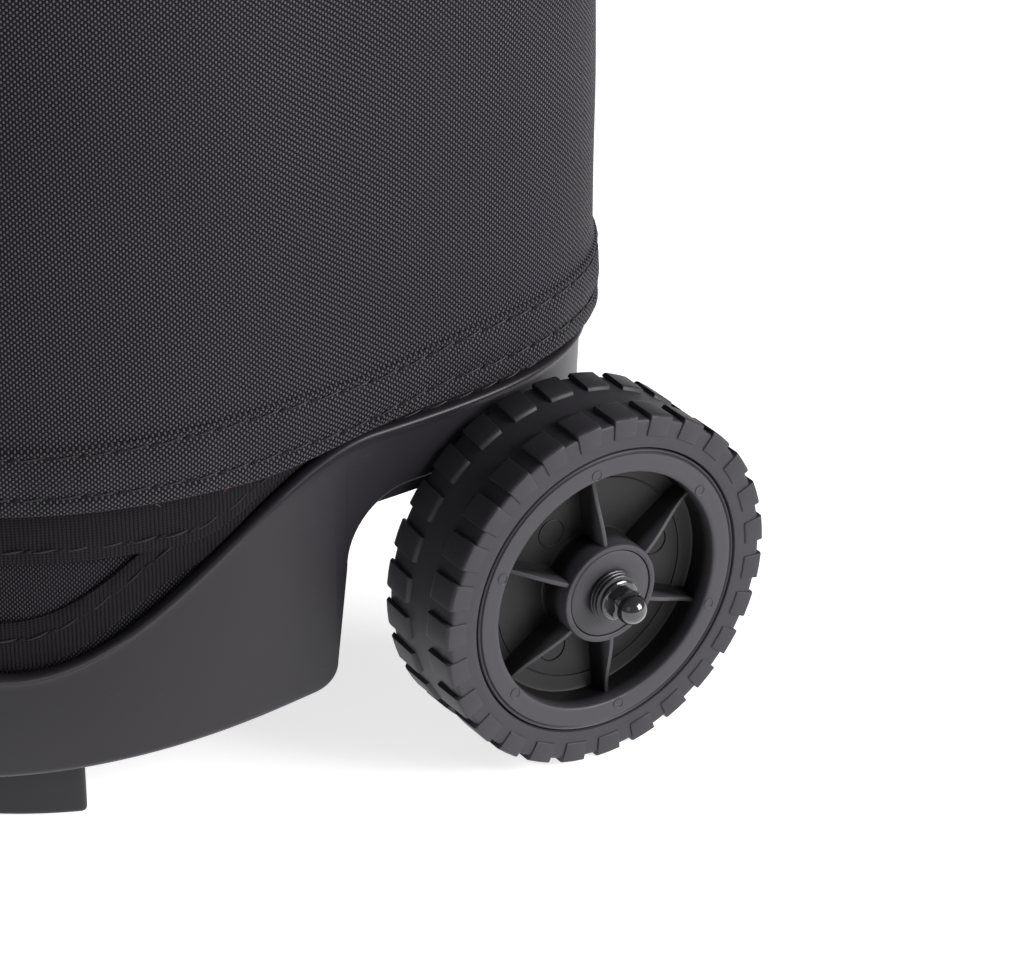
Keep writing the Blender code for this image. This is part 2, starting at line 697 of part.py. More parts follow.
def make_lid():
    """The padded lid, lower at the back so that it opens clear of the raised handle."""
    hinge_y, hinge_z = HOPPER_REAR + 0.0045, LID_BOTTOM + 0.0089
    rear = HOPPER_REAR - 0.002
    lid = upright("lid", [outline(0.002, rear)], LID_BOTTOM, TOTAL_HEIGHT, FABRIC)
    bevel(lid, 0.004, 1)
    slope = (LID_THICKNESS - LID_REAR_THICKNESS) / LID_SLOPE_LENGTH
    low = LID_BOTTOM + LID_REAR_THICKNESS
    wedge = [(rear + CUT, low - slope * CUT), (rear + CUT, TOTAL_HEIGHT + CUT),
             (rear - LID_SLOPE_LENGTH - CUT, TOTAL_HEIGHT + slope * CUT)]
    cut(lid, across("cut_lid_slope", [wedge], -BODY_HALF_WIDTH, BODY_HALF_WIDTH))
    opener = pivot("lid_pivot", (0, hinge_y, hinge_z))
    hang(opener, lid)
    barrel_loop = circle(LID_BARREL, (hinge_y, hinge_z), 16)
    pin = LID_BARREL / 2
    bore = circle(pin + RUN, (hinge_y, hinge_z), 12)
    for side, label in ((-1, "left"), (1, "right")):
        leaf_ends = sorted(side * x for x in LID_LEAF_X)
        knuckle = sorted(side * x for x in LID_KNUCKLE_X)
        pin_ends = sorted(side * x for x in (LID_LEAF_X[0] + 0.002, LID_KNUCKLE_X[0] + 0.002))
        leaf = across(f"lid_leaf_{label}", [barrel_loop, bore], *leaf_ends, BLACK_STEEL)
        tongue = block(f"tongue_{label}", (leaf_ends[0], rear + TOUCH, hinge_z - pin),
                       (leaf_ends[1], hinge_y - pin - 2 * RUN, hinge_z + pin))
        join(leaf, tongue)
        hang(opener, leaf)
        hinge = across(f"lid_hinge_{label}", [barrel_loop], *knuckle, BLACK_STEEL)
        foot = block(f"hinge_foot_{label}", (knuckle[0], hinge_y - 0.8 * LID_BARREL, LID_BOTTOM),
                     (knuckle[1], hinge_y + 0.8 * LID_BARREL, hinge_z))
        shank = rod(f"hinge_pin_{label}", pin, *pin_ends, TURN_X, (0, hinge_y, hinge_z), steps=12)
        join(hinge, foot, shank)


# Pull-out handle


def make_handle():
    hole = CHANNEL_RADIUS + TOUCH
    tray_top = WELL_FLOOR
    upright("handle_tray", [
        rectangle((-WELL_HALF_WIDTH + TOUCH, HOPPER_REAR + 0.0013),
                  (WELL_HALF_WIDTH - TOUCH, BODY_REAR - TRAY_REAR_INSET)),
        circle(hole, (-HANDLE_X, HANDLE_Y)), circle(hole, (HANDLE_X, HANDLE_Y)),
    ], tray_top - PLATE_THICKNESS, tray_top, PLASTIC)
    middle_radius = CHANNEL_RADIUS - TUBE_WALL - RUN
    inner_radius = middle_radius - TUBE_WALL - RUN
    lower_stage = pivot("handle_middle_stage", (0, HANDLE_Y, tray_top))
    upper_stage = pivot("handle_top_stage", (0, HANDLE_Y, GRIP_BOTTOM))
    for side, label in ((-1, "left"), (1, "right")):
        place = (side * HANDLE_X, HANDLE_Y, 0)
        tube(f"handle_channel_{label}", CHANNEL_RADIUS, CHANNEL_RADIUS - TUBE_WALL,
             CHANNEL_BOTTOM, tray_top + 0.001, place, material=ALUMINIUM)
        middle = tube(f"middle_tube_{label}", middle_radius, middle_radius - TUBE_WALL,
                      CHANNEL_BOTTOM + TUBE_STEP, tray_top + 0.008, place, material=ALUMINIUM)
        inner = rod(f"inner_tube_{label}", inner_radius, CHANNEL_BOTTOM + 2 * TUBE_STEP, GRIP_BOTTOM - TOUCH,
                    (0, 0, 0), place, ALUMINIUM, 20)
        hang(lower_stage, middle)
        hang(upper_stage, inner)
    half, depth, height = GRIP_SIZE[0] / 2, GRIP_SIZE[1] / 2, GRIP_SIZE[2]
    top = GRIP_BOTTOM + height
    grip = block("grip", (-half, HANDLE_Y - depth, GRIP_BOTTOM), (half, HANDLE_Y + depth, top), GRIP, 0.006)
    slot = block("cut_button",
                 (-BUTTON_SIZE[0] / 2 - RUN, HANDLE_Y - BUTTON_SIZE[1] / 2 - RUN,
                  top - BUTTON_SIZE[2] - 0.003),
                 (BUTTON_SIZE[0] / 2 + RUN, HANDLE_Y + BUTTON_SIZE[1] / 2 + RUN, top + CUT))
    cut(grip, slot)
    button = block("handle_button",
                   (-BUTTON_SIZE[0] / 2, HANDLE_Y - BUTTON_SIZE[1] / 2, top - BUTTON_SIZE[2] + BUTTON_PROUD),
                   (BUTTON_SIZE[0] / 2, HANDLE_Y + BUTTON_SIZE[1] / 2, top + BUTTON_PROUD), GRIP, 0.001)
    hang(upper_stage, grip, button)


# Launcher


def make_launcher():
    centre = (0, LAUNCH_Y, LAUNCH_HEIGHT)
    tilt = pivot("launcher_pivot", centre)
    tall = LAUNCH_SPREAD + PLATE_OVERHANG
    half_gap = PLATE_X
    plate_shape = rounded([
        (LAUNCH_Y - PLATE_FRONT, LAUNCH_HEIGHT - tall, 0.012),
        (LAUNCH_Y + PLATE_REAR, LAUNCH_HEIGHT - tall, 0.012),
        (LAUNCH_Y + PLATE_REAR, LAUNCH_HEIGHT + tall, 0.012),
        (LAUNCH_Y - PLATE_FRONT, LAUNCH_HEIGHT + tall, 0.012),
    ], steps=3)
    holes = [circle(SHAFT_RADIUS + RUN, (LAUNCH_Y, LAUNCH_HEIGHT + end * LAUNCH_SPREAD), 12)
             for end in (-1, 1)]
    for side, label in ((-1, "left"), (1, "right")):
        ends = sorted(side * x for x in (half_gap, half_gap + PLATE_THICKNESS))
        plate = across(f"launch_plate_{label}", [plate_shape, *holes], *ends, ALUMINIUM)
        reach = sorted(side * x for x in (half_gap + 0.001, FRAME_X - FRAME_TUBE - TOUCH))
        join(plate, rod(f"trunnion_{label}", TRUNNION_RADIUS, *reach, TURN_X, centre))
        hang(tilt, plate)
        make_pivot_bracket(side, label)
    front = LAUNCH_Y - PLATE_FRONT - TOUCH
    barrel = tube("launch_tube", PATH_RADIUS + PATH_WALL, PATH_RADIUS,
                  front - LAUNCH_TUBE_LENGTH, front, (0, 0, LAUNCH_HEIGHT), TURN_Y, PLASTIC, 24)
    hang(tilt, barrel, make_ball_guide(), make_sector())
    for end, label in ((-1, "lower"), (1, "upper")):
        height = LAUNCH_HEIGHT + end * LAUNCH_SPREAD
        hang(tilt, make_launch_motor(label, height))
        hang(pivot(f"launch_spin_{label}", (0, LAUNCH_Y, height)), make_launch_wheel(label, height))


def make_pivot_bracket(side, label):
    outer = FRAME_X - FRAME_TUBE - TOUCH
    ends = sorted(side * x for x in (outer - 0.005, outer))
    shape = rounded([
        (-FRAME_Y - FRAME_TUBE, LAUNCH_HEIGHT - 0.015, 0.004),
        (LAUNCH_Y + 0.015, LAUNCH_HEIGHT - 0.015, 0.012),
        (LAUNCH_Y + 0.015, LAUNCH_HEIGHT + 0.015, 0.012),
        (-FRAME_Y - FRAME_TUBE, LAUNCH_HEIGHT + 0.015, 0.004),
    ], steps=3)
    bore = circle(TRUNNION_RADIUS + RUN, (LAUNCH_Y, LAUNCH_HEIGHT), 16)
    across(f"pivot_bracket_{label}", [shape, bore], *ends, BLACK_STEEL)


def make_ball_guide():
    """The trough that carries a ball from the chute to the launch wheels."""
    outer = PLATE_X - TOUCH - 0.001
    inner = BALL_RADIUS + 0.001
    spread = [math.radians(-145 + 110 * step / 6) for step in range(7)]
    loop = [(outer * math.cos(a), LAUNCH_HEIGHT + outer * math.sin(a)) for a in spread]
    loop += [(inner * math.cos(a), LAUNCH_HEIGHT + inner * math.sin(a)) for a in reversed(spread)]
    rear = CHUTE_END_Y - 0.006
    front = LAUNCH_Y + math.sqrt(LAUNCH_WHEEL_RADIUS**2 - (LAUNCH_SPREAD - outer) ** 2) + 0.003
    return along("ball_guide", [loop], front, rear, PLASTIC)


def make_launch_wheel(label, height):
    half = LAUNCH_WHEEL_WIDTH / 2
    hollow = LAUNCH_WHEEL_RADIUS - 0.010  # inner radius of the tread ring
    end = PLATE_X + PLATE_THICKNESS
    return turned(f"launch_wheel_{label}", [
        (0, end), (SHAFT_RADIUS, end), (SHAFT_RADIUS, half - 0.006), (hollow, half - 0.006),
        (hollow, half), (LAUNCH_WHEEL_RADIUS, half), (LAUNCH_WHEEL_RADIUS, -half), (hollow, -half),
        (hollow, -half + 0.006), (SHAFT_RADIUS, -half + 0.006), (SHAFT_RADIUS, -end), (0, -end),
    ], (0, LAUNCH_Y, height), TURN_X, RUBBER, 20)


def make_launch_motor(label, height):
    start = PLATE_X + PLATE_THICKNESS + TOUCH
    return rod(f"launch_motor_{label}", MOTOR_RADIUS, start, start + MOTOR_LENGTH, TURN_X,
               (0, LAUNCH_Y, height), BLACK_STEEL, 16)


def make_sector():
    """The toothed quadrant on the left trunnion; the knob's pinion runs under it."""
    first, last = math.radians(-104), math.radians(-46)
    teeth = gear_outline(SECTOR_TEETH, -math.pi / 2)
    arc = [(y, z) for y, z in teeth if first <= math.atan2(z, y) <= last]
    arc.sort(key=lambda p: math.atan2(p[1], p[0]))
    hub = TRUNNION_RADIUS + 0.008
    back = [math.radians(-20 + 250 * step / 10) for step in range(11)]
    loop = arc + [(hub * math.cos(a), hub * math.sin(a)) for a in back]
    loop = [(LAUNCH_Y + y, LAUNCH_HEIGHT + z) for y, z in loop]
    bore = circle(TRUNNION_RADIUS + TOUCH, (LAUNCH_Y, LAUNCH_HEIGHT), 16)
    return across("elevation_sector", [loop, bore],
                  SECTOR_X - GEAR_WIDTH / 2, SECTOR_X + GEAR_WIDTH / 2, STEEL)


def make_elevation_drive():
    height = LAUNCH_HEIGHT - SECTOR_RADIUS - PINION_RADIUS
    phase = math.pi / 2 + math.pi / PINION_TEETH
    loop = [(LAUNCH_Y + y, height + z) for y, z in gear_outline(PINION_TEETH, phase)]
    low, high = SECTOR_X - GEAR_WIDTH / 2 - 0.001, SECTOR_X + GEAR_WIDTH / 2 + 0.001
    pinion = across("elevation_pinion", [loop], low, high, STEEL)
    face = PANEL_X - RUN
    shaft = rod("elevation_shaft", SHAFT_RADIUS, face - 0.006, SECTOR_X, TURN_X, (0, LAUNCH_Y, height))
    join(pinion, shaft)
    knob = make_knob("elevation_knob", (LAUNCH_Y, height), ELEVATION_KNOB_RADIUS, SHAFT_RADIUS + TOUCH)
    hang(pivot("elevation_pivot", (0, LAUNCH_Y, height)), pinion, knob)


def make_bezel():
    border = BEZEL_BORDER
    bezel = upright("front_bezel", [outline(0), outline(BEZEL_DEPTH)],
                    WINDOW_LOW - border, WINDOW_HIGH + border, PLASTIC)
    reach = BODY_HALF_WIDTH + CUT
    keep = block("keep_bezel", (-WINDOW_HALF_WIDTH - border, -reach, 0),
                 (WINDOW_HALF_WIDTH + border, -BODY_FRONT / 2, TOTAL_HEIGHT))
    opening = along("cut_bezel", [rounded([
        (-WINDOW_HALF_WIDTH, WINDOW_LOW, 0.02), (WINDOW_HALF_WIDTH, WINDOW_LOW, 0.02),
        (WINDOW_HALF_WIDTH, WINDOW_HIGH, 0.02), (-WINDOW_HALF_WIDTH, WINDOW_HIGH, 0.02)], steps=4)],
        -reach, 0)
    combine(bezel, "INTERSECT", keep)
    cut(bezel, opening)


# Feeder


def make_feeder():
    floor = HOPPER_FLOOR + HOPPER_WALL
    low, high = floor + RUN, floor + RUN + ROTOR_HEIGHT
    gear_top = HOPPER_FLOOR - RUN - FEED_GEAR_DROP + GEAR_WIDTH
    gear_low = gear_top - GEAR_WIDTH
    hub = ROTOR_HUB_RADIUS
    rotor = turned("feed_rotor", [
        (0, high + 0.012), (hub * 0.6, high + 0.008), (hub, high - 0.004), (hub, low),
        (FEED_SHAFT_RADIUS, low), (FEED_SHAFT_RADIUS, gear_low), (0, gear_low),
    ], material=GREY_PLASTIC, steps=24)
    for arm in range(ROTOR_ARMS):
        bar = block(f"rotor_arm_{arm}", (hub * 0.5, -ROTOR_ARM_WIDTH / 2, low),
                    (ROTOR_RADIUS, ROTOR_ARM_WIDTH / 2, high - 0.004))
        place = Matrix.Translation(bar.location)
        turn = math.pi / 2 + 2 * math.pi * (arm + 0.5) / ROTOR_ARMS
        bar.matrix_basis = Matrix.Rotation(turn, 4, "Z") @ place
        join(rotor, bar)
    gear = upright("feed_gear", [gear_outline(FEED_GEAR_TEETH), circle(FEED_SHAFT_RADIUS + TOUCH, steps=16)],
                   gear_low, gear_top, GREY_PLASTIC)
    hang(pivot("feed_pivot", (0, 0, floor)), rotor, gear)
    reach = FEED_GEAR_RADIUS + PINION_RADIUS
    loop = [(reach + x, y) for x, y in gear_outline(PINION_TEETH, math.pi + math.pi / PINION_TEETH)]
    pinion = upright("feed_pinion", [loop], gear_low - 0.001, gear_top + 0.001, STEEL)
    hang(pivot("feed_pinion_pivot", (reach, 0, gear_low)), pinion)
    motor_top = gear_low - 0.001 - RUN
    rod("feed_motor", MOTOR_RADIUS - 0.001, motor_top - MOTOR_LENGTH, motor_top, (0, 0, 0),
        (reach, 0, 0), BLACK_STEEL, 16)


def make_chute():
    bend = DROP_Y - CHUTE_END_Y
    quarter = [math.pi / 2 * step / 6 for step in range(7)]
    path = [(0, DROP_Y, HOPPER_FLOOR - TOUCH)]
    path += [(0, CHUTE_END_Y + bend * math.cos(a), LAUNCH_HEIGHT + bend * (1 - math.sin(a)))
             for a in quarter]
    curve = bpy.data.curves.new("ball_chute", "CURVE")
    curve.dimensions = "3D"
    curve.bevel_depth = PATH_RADIUS + PATH_WALL / 2
    curve.bevel_resolution = 4
    spline = curve.splines.new("POLY")
    spline.points.add(len(path) - 1)
    for point, place in zip(spline.points, path):
        point.co = (*place, 1)
    chute = from_curve("ball_chute", curve, material=PLASTIC)
    wall = chute.modifiers.new("wall", "SOLIDIFY")
    wall.thickness = PATH_WALL
    wall.offset = 0


# Controls


def make_controls():
    inner_x = PANEL_X + PANEL_DEPTH
    housing = block("control_housing", (PANEL_X, PANEL_Y[0], PANEL_Z[0]), (inner_x, PANEL_Y[1], PANEL_Z[1]),
                    PLASTIC)
    wall = PANEL_WALL
    hollow = block("cut_housing", (PANEL_X + wall, PANEL_Y[0] + wall, PANEL_Z[0] + wall),
                   (inner_x + CUT, PANEL_Y[1] - wall, PANEL_Z[1] - wall))
    shaft_at = (LAUNCH_Y, LAUNCH_HEIGHT - SECTOR_RADIUS - PINION_RADIUS)
    bore = across("cut_panel_bore", [circle(SHAFT_RADIUS + RUN, shaft_at, 12)],
                  PANEL_X - CUT, PANEL_X + wall + CUT)
    size = SWITCH_SIZE
    switch_low = (SWITCH_AT[0] - size[1] / 2, SWITCH_AT[1] - size[2] / 2)
    switch_high = (SWITCH_AT[0] + size[1] / 2, SWITCH_AT[1] + size[2] / 2)
    opening = block("cut_switch", (PANEL_X - CUT, switch_low[0] - RUN, switch_low[1] - RUN),
                    (PANEL_X + wall + 0.001, switch_high[0] + RUN, switch_high[1] + RUN))
    cut(housing, hollow, bore, opening)
    make_knob("speed_knob", SPEED_KNOB_AT, KNOB_RADIUS)
    make_knob("interval_knob", INTERVAL_KNOB_AT, KNOB_RADIUS)
    block("power_switch", (PANEL_X - size[0] + wall, *switch_low), (PANEL_X + wall, *switch_high), RED, 0.001)
    board_x = inner_x - PANEL_WALL
    block("control_board", (board_x, BOARD_FRONT, PANEL_Z[0] + BOARD_MARGIN),
          (board_x + BOARD_THICKNESS, PANEL_Y[1] - BOARD_MARGIN, PANEL_Z[1] - BOARD_MARGIN), BOARD)
    wide, deep, tall = BATTERY_SIZE
    battery_low = belly_height(BATTERY_REAR) + TUB_WALL + 2 * RUN
    block("battery", (-wide / 2, BATTERY_REAR - deep, battery_low),
          (wide / 2, BATTERY_REAR, battery_low + tall), GREY_PLASTIC, 0.003)


def make_knob(name, place, radius, bore=0.0):
    """A knob on the panel's outer face, its origin on its axis."""
    start, end = RUN, RUN + KNOB_LENGTH
    outside = [(radius * 0.85, end), (radius, end - 0.002), (radius, start)]
    if bore:
        hollow = start + 0.007
        profile = [(0, end), *outside, (bore, start), (bore, hollow), (0, hollow)]
    else:
        profile = [(0, end), *outside, (0, start)]
    location = (PANEL_X, *place)
    return turned(name, profile, location, (0, -math.pi / 2, 0), GRIP, 16)


clear_scene()
PARTS = new_collection("tennis_ball_machine")
CUTTERS = new_collection("cutters", hidden=True)
PLASTIC = finish("black_plastic", (0.022, 0.022, 0.024), 0.42)
GREY_PLASTIC = finish("grey_plastic", (0.16, 0.16, 0.17), 0.5)
FABRIC = finish("nylon_cover", (0.020, 0.020, 0.022), 0.85)
TYRE = finish("tyre_compound", (0.030, 0.030, 0.032), 0.6)
RUBBER = finish("rubber", (0.020, 0.020, 0.020), 0.7)
GRIP = finish("grip_rubber", (0.028, 0.028, 0.030), 0.6)
STEEL = finish("steel", (0.55, 0.56, 0.58), 0.35, 1.0)
BLACK_STEEL = finish("black_steel", (0.03, 0.03, 0.033), 0.4, 0.6)
GLOSS_STEEL = finish("gloss_black", (0.01, 0.01, 0.011), 0.12, 0.5)
ALUMINIUM = finish("aluminium", (0.72, 0.73, 0.75), 0.3, 1.0)
RED = finish("red_plastic", (0.45, 0.03, 0.02), 0.35)
BOARD = finish("circuit_board", (0.02, 0.16, 0.06), 0.5)

make_tub()
make_foot()
make_axle()
make_wheel(-1, "left")
make_wheel(1, "right")
make_side_frames()
make_hopper()
make_top_frame()
make_cover()
make_liner()
make_lid()
make_handle()
make_launcher()
make_elevation_drive()
make_bezel()
make_feeder()
make_chute()
make_controls()
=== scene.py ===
"""Looks of a wheeled tennis ball machine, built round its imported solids.

Metres, +Z up. The balls leave towards -Y, the wheels and the pull-out handle are at +Y, and the
controls are on the -X side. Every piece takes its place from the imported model's boxes.
"""

import json
import logging
import math
from collections.abc import Callable, Sequence
from dataclasses import dataclass, field
from enum import Enum
from typing import ClassVar

import bmesh
import bpy
import numpy as np
from mathutils import Matrix, Vector
from mathutils.kdtree import KDTree

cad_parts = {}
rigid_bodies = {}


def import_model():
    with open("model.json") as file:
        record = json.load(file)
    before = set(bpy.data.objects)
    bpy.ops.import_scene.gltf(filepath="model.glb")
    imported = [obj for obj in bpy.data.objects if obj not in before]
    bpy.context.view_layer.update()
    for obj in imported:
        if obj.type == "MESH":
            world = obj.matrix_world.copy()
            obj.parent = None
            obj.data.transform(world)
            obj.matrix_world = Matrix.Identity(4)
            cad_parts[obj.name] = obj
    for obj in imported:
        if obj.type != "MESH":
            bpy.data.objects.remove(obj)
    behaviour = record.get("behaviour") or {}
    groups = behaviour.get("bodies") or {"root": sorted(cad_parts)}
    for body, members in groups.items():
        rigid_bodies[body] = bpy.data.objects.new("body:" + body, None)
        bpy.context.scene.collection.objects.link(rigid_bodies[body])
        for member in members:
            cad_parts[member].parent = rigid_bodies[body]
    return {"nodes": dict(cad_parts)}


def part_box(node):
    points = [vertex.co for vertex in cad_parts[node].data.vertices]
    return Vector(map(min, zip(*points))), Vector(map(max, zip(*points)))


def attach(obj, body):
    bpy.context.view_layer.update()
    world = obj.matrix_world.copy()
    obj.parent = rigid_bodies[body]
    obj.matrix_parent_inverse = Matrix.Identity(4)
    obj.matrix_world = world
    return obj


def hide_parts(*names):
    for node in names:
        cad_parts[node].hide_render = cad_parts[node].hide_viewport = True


for leftover in list(bpy.data.objects):
    bpy.data.objects.remove(leftover, do_unlink=True)
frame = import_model()

LOG = logging.getLogger("ball_machine")
TAU = 2 * math.pi
MM = 0.001
Colour = tuple[float, float, float]


# Shader bench


@dataclass(frozen=True)
class Wire:
    """One output of a material's nodes. Arithmetic on it adds the Math nodes."""

    bench: "Bench"
    socket: bpy.types.NodeSocket

    def __add__(self, other: "Wire | float") -> "Wire":
        """The sum."""
        return self.bench.math("ADD", self, other)

    def __radd__(self, other: float) -> "Wire":
        """The sum, with the number first."""
        return self.bench.math("ADD", other, self)

    def __sub__(self, other: "Wire | float") -> "Wire":
        """The difference."""
        return self.bench.math("SUBTRACT", self, other)

    def __rsub__(self, other: float) -> "Wire":
        """The difference, with the number first."""
        return self.bench.math("SUBTRACT", other, self)

    def __mul__(self, other: "Wire | float") -> "Wire":
        """The product."""
        return self.bench.math("MULTIPLY", self, other)

    def __rmul__(self, other: float) -> "Wire":
        """The product, with the number first."""
        return self.bench.math("MULTIPLY", other, self)

    def __truediv__(self, other: "Wire | float") -> "Wire":
        """The quotient."""
        return self.bench.math("DIVIDE", self, other)

    def __rtruediv__(self, other: float) -> "Wire":
        """The quotient, with the number first."""
        return self.bench.math("DIVIDE", other, self)

    def __pow__(self, other: "Wire | float") -> "Wire":
        """The power."""
        return self.bench.math("POWER", self, other)

    def floor(self) -> "Wire":
        """The whole part."""
        return self.bench.math("FLOOR", self)

    def fract(self) -> "Wire":
        """The part after the point."""
        return self.bench.math("FRACT", self)

    def size(self) -> "Wire":
        """The value without its sign."""
        return self.bench.math("ABSOLUTE", self)

    def even(self) -> "Wire":
        """1 on even whole numbers and 0 on odd ones."""
        return 1 - (self * 0.5).fract() * 2

    def most(self, other: "Wire | float") -> "Wire":
        """The larger of the two."""
        return self.bench.math("MAXIMUM", self, other)

    def above(self, limit: "Wire | float") -> "Wire":
        """1 where the value is over the limit, and 0 elsewhere."""
        return self.bench.math("GREATER_THAN", self, limit)

    def ramp(self, start: float, end: float) -> "Wire":
        """A soft step from 0 at start to 1 at end.

        Args:
            start: the value where the step begins.
            end: the value where it is complete.

        Returns:
            The stepped value.
        """
        inputs = {"Value": self, "From Min": start, "From Max": end, "To Min": 0.0, "To Max": 1.0}
        return self.bench.add("ShaderNodeMapRange", {"interpolation_type": "SMOOTHSTEP"}, inputs)


class Bench:
    """The node tree of one material, with its Principled shader at hand."""

    def __init__(self, name: str) -> None:
        """Makes the material.

        Args:
            name: the material's name.
        """
        self.material = bpy.data.materials.new(name)
        self.material.use_nodes = True
        self.tree = self.material.node_tree
        self.shader = self.tree.nodes["Principled BSDF"]

    def add(self, kind: str, settings: dict | None = None, inputs: dict | None = None,
            output: int | str = 0) -> Wire:
        """Adds a node.

        Args:
            kind: the node's type.
            settings: its properties, set first. "stops" holds a colour ramp's (place, colour) pairs.
            inputs: values or wires, by socket name or number.
            output: the output that is wanted.

        Returns:
            That output.
        """
        node = self.tree.nodes.new(kind)
        for key, value in (settings or {}).items():
            if key == "stops":
                self.fill_ramp(node, value)
            else:
                setattr(node, key, value)
        for key, value in (inputs or {}).items():
            if isinstance(value, Wire):
                self.tree.links.new(value.socket, node.inputs[key])
            else:
                node.inputs[key].default_value = value
        return Wire(self, node.outputs[output])

    @staticmethod
    def fill_ramp(node: bpy.types.ShaderNode, stops: Sequence[tuple[float, Colour]]) -> None:
        """Sets a colour ramp's stops.

        Args:
            node: the ramp.
            stops: its (place, colour) pairs, two or more.
        """
        elements = node.color_ramp.elements
        while len(elements) < len(stops):
            elements.new(1.0)
        for element, (place, colour) in zip(elements, stops):
            element.position = place
            element.color = (*colour, 1)

    def math(self, operation: str, first: Wire | float, second: Wire | float = 0.0) -> Wire:
        """Adds a Math node."""
        return self.add("ShaderNodeMath", {"operation": operation}, {0: first, 1: second})

    def mix(self, share: Wire | float, first: Wire | Colour, second: Wire | Colour) -> Wire:
        """Mixes two colours.

        Args:
            share: how much of the second shows, from 0 to 1.
            first: a wire or a colour.
            second: a wire or a colour.

        Returns:
            The mixed colour.
        """
        ends = [end if isinstance(end, Wire) else (*end, 1) for end in (first, second)]
        return self.add("ShaderNodeMix", {"data_type": "RGBA"}, {0: share, 6: ends[0], 7: ends[1]}, 2)

    def place(self) -> Wire:
        """The point on the piece, in metres."""
        return self.add("ShaderNodeTexCoord", output="Object")

    def stretched(self, place: Wire, by: Colour) -> Wire:
        """The point, multiplied by a factor along each axis."""
        return self.add("ShaderNodeVectorMath", {"operation": "MULTIPLY"}, {0: place, 1: by})

    def noise(self, place: Wire, per_metre: float, detail: float = 2.0) -> Wire:
        """Cloudy noise from 0 to 1."""
        return self.add("ShaderNodeTexNoise", None, {"Vector": place, "Scale": per_metre, "Detail": detail})

    def cells(self, place: Wire, per_metre: float) -> Wire:
        """The distance to the nearest of many scattered points."""
        return self.add("ShaderNodeTexVoronoi", None, {"Vector": place, "Scale": per_metre})

    def parts(self, vector: Wire) -> tuple[Wire, Wire, Wire]:
        """A vector's three numbers.

        Args:
            vector: the vector.

        Returns:
            Its x, y and z.
        """
        node = self.tree.nodes.new("ShaderNodeSeparateXYZ")
        self.tree.links.new(vector.socket, node.inputs[0])
        return tuple(Wire(self, out) for out in node.outputs)

    def bump(self, height: Wire, depth: float) -> Wire:
        """A normal from a height of 0 to 1, which stands for depth in metres."""
        return self.add("ShaderNodeBump", None, {"Strength": 1.0, "Distance": depth, "Height": height})

    def feed(self, **sockets: Wire | float | Colour) -> None:
        """Sets or links the shader's sockets, whose names have _ for a space."""
        for key, value in sockets.items():
            socket = self.shader.inputs[key.replace("_", " ")]
            if isinstance(value, Wire):
                self.tree.links.new(value.socket, socket)
            elif isinstance(value, tuple):
                socket.default_value = (*value, 1)
            else:
                socket.default_value = value


# Finishes


@dataclass(frozen=True)
class Finish:
    """A surface that pieces share. Each kind says how its nodes are laid."""

    name: str
    slot: str
    colour: Colour
    roughness: float = 0.5
    gloss: float = 0.4

    def lay(self, bench: Bench) -> None:
        """Adds the nodes.

        Args:
            bench: the node tree to fill.
        """
        raise NotImplementedError

    def material(self) -> bpy.types.Material:
        """The finish's material, made once.

        Returns:
            The material, found by its name if it is there already.
        """
        made = bpy.data.materials.get(self.name)
        if made is None:
            bench = Bench(self.name)
            bench.feed(Specular_IOR_Level=self.gloss)
            self.lay(bench)
            made = bench.material
            made.diffuse_color = (*self.colour, 1)
        return made


@dataclass(frozen=True)
class Moulded(Finish):
    """Injection-moulded plastic or rubber: fine grain, slow mottling, hairline scratches, dust, and painted
    shade in a recess.
    """

    mottle: float = 0.18
    grain_depth: float = 0.00004
    grain_per_metre: float = 2600.0
    scratches: float = 0.5
    dust: float = 0.0
    coat: float = 0.0
    painted_recess_shade: tuple[float, float] | None = None

    def lay(self, bench: Bench) -> None:
        """Adds the nodes.

        Args:
            bench: the node tree to fill.
        """
        place = bench.place()
        cloud = bench.noise(place, 14.0, 3.0)
        flow = bench.noise(bench.stretched(place, (1.0, 1.0, 0.25)), 60.0, 2.0)
        grain = bench.noise(place, self.grain_per_metre, 1.0)
        lines = bench.noise(bench.stretched(place, (1.0, 0.07, 0.9)), 900.0, 1.0)
        patches = bench.noise(place, 22.0, 1.0).ramp(0.56, 0.70)
        scratch = lines.ramp(0.70, 0.76) * patches * self.scratches
        specks = 1 - bench.cells(place, 420.0).ramp(0.03, 0.09)
        dusty = specks * bench.noise(place, 30.0, 2.0).ramp(0.5, 0.7) * self.dust
        low = tuple(c * (1 - self.mottle) for c in self.colour)
        high = tuple(c * (1 + self.mottle) for c in self.colour)
        pale = tuple(c + 0.05 for c in self.colour)
        base = bench.mix(cloud, low, high)
        # Painted shade: deeper than the face, the colour falls to near-black, standing in for the shadow
        # inside the wheel's recess.
        if self.painted_recess_shade:
            aside = bench.parts(place)[0].size()
            deep = (1 - aside.ramp(*self.painted_recess_shade)) * 0.98
            base = bench.mix(deep, base, tuple(c * 0.02 for c in self.colour))
        base = bench.mix(scratch * 0.6, base, pale)
        base = bench.mix(dusty, base, (0.16, 0.155, 0.15))
        rough = self.roughness + (cloud - 0.5) * 0.12 + (flow - 0.5) * 0.06 + scratch * 0.12
        height = grain * 0.7 + scratch * 0.5
        bench.feed(Base_Color=base, Roughness=rough, Normal=bench.bump(height, self.grain_depth))
        bench.feed(Coat_Weight=self.coat, Coat_Roughness=0.08)


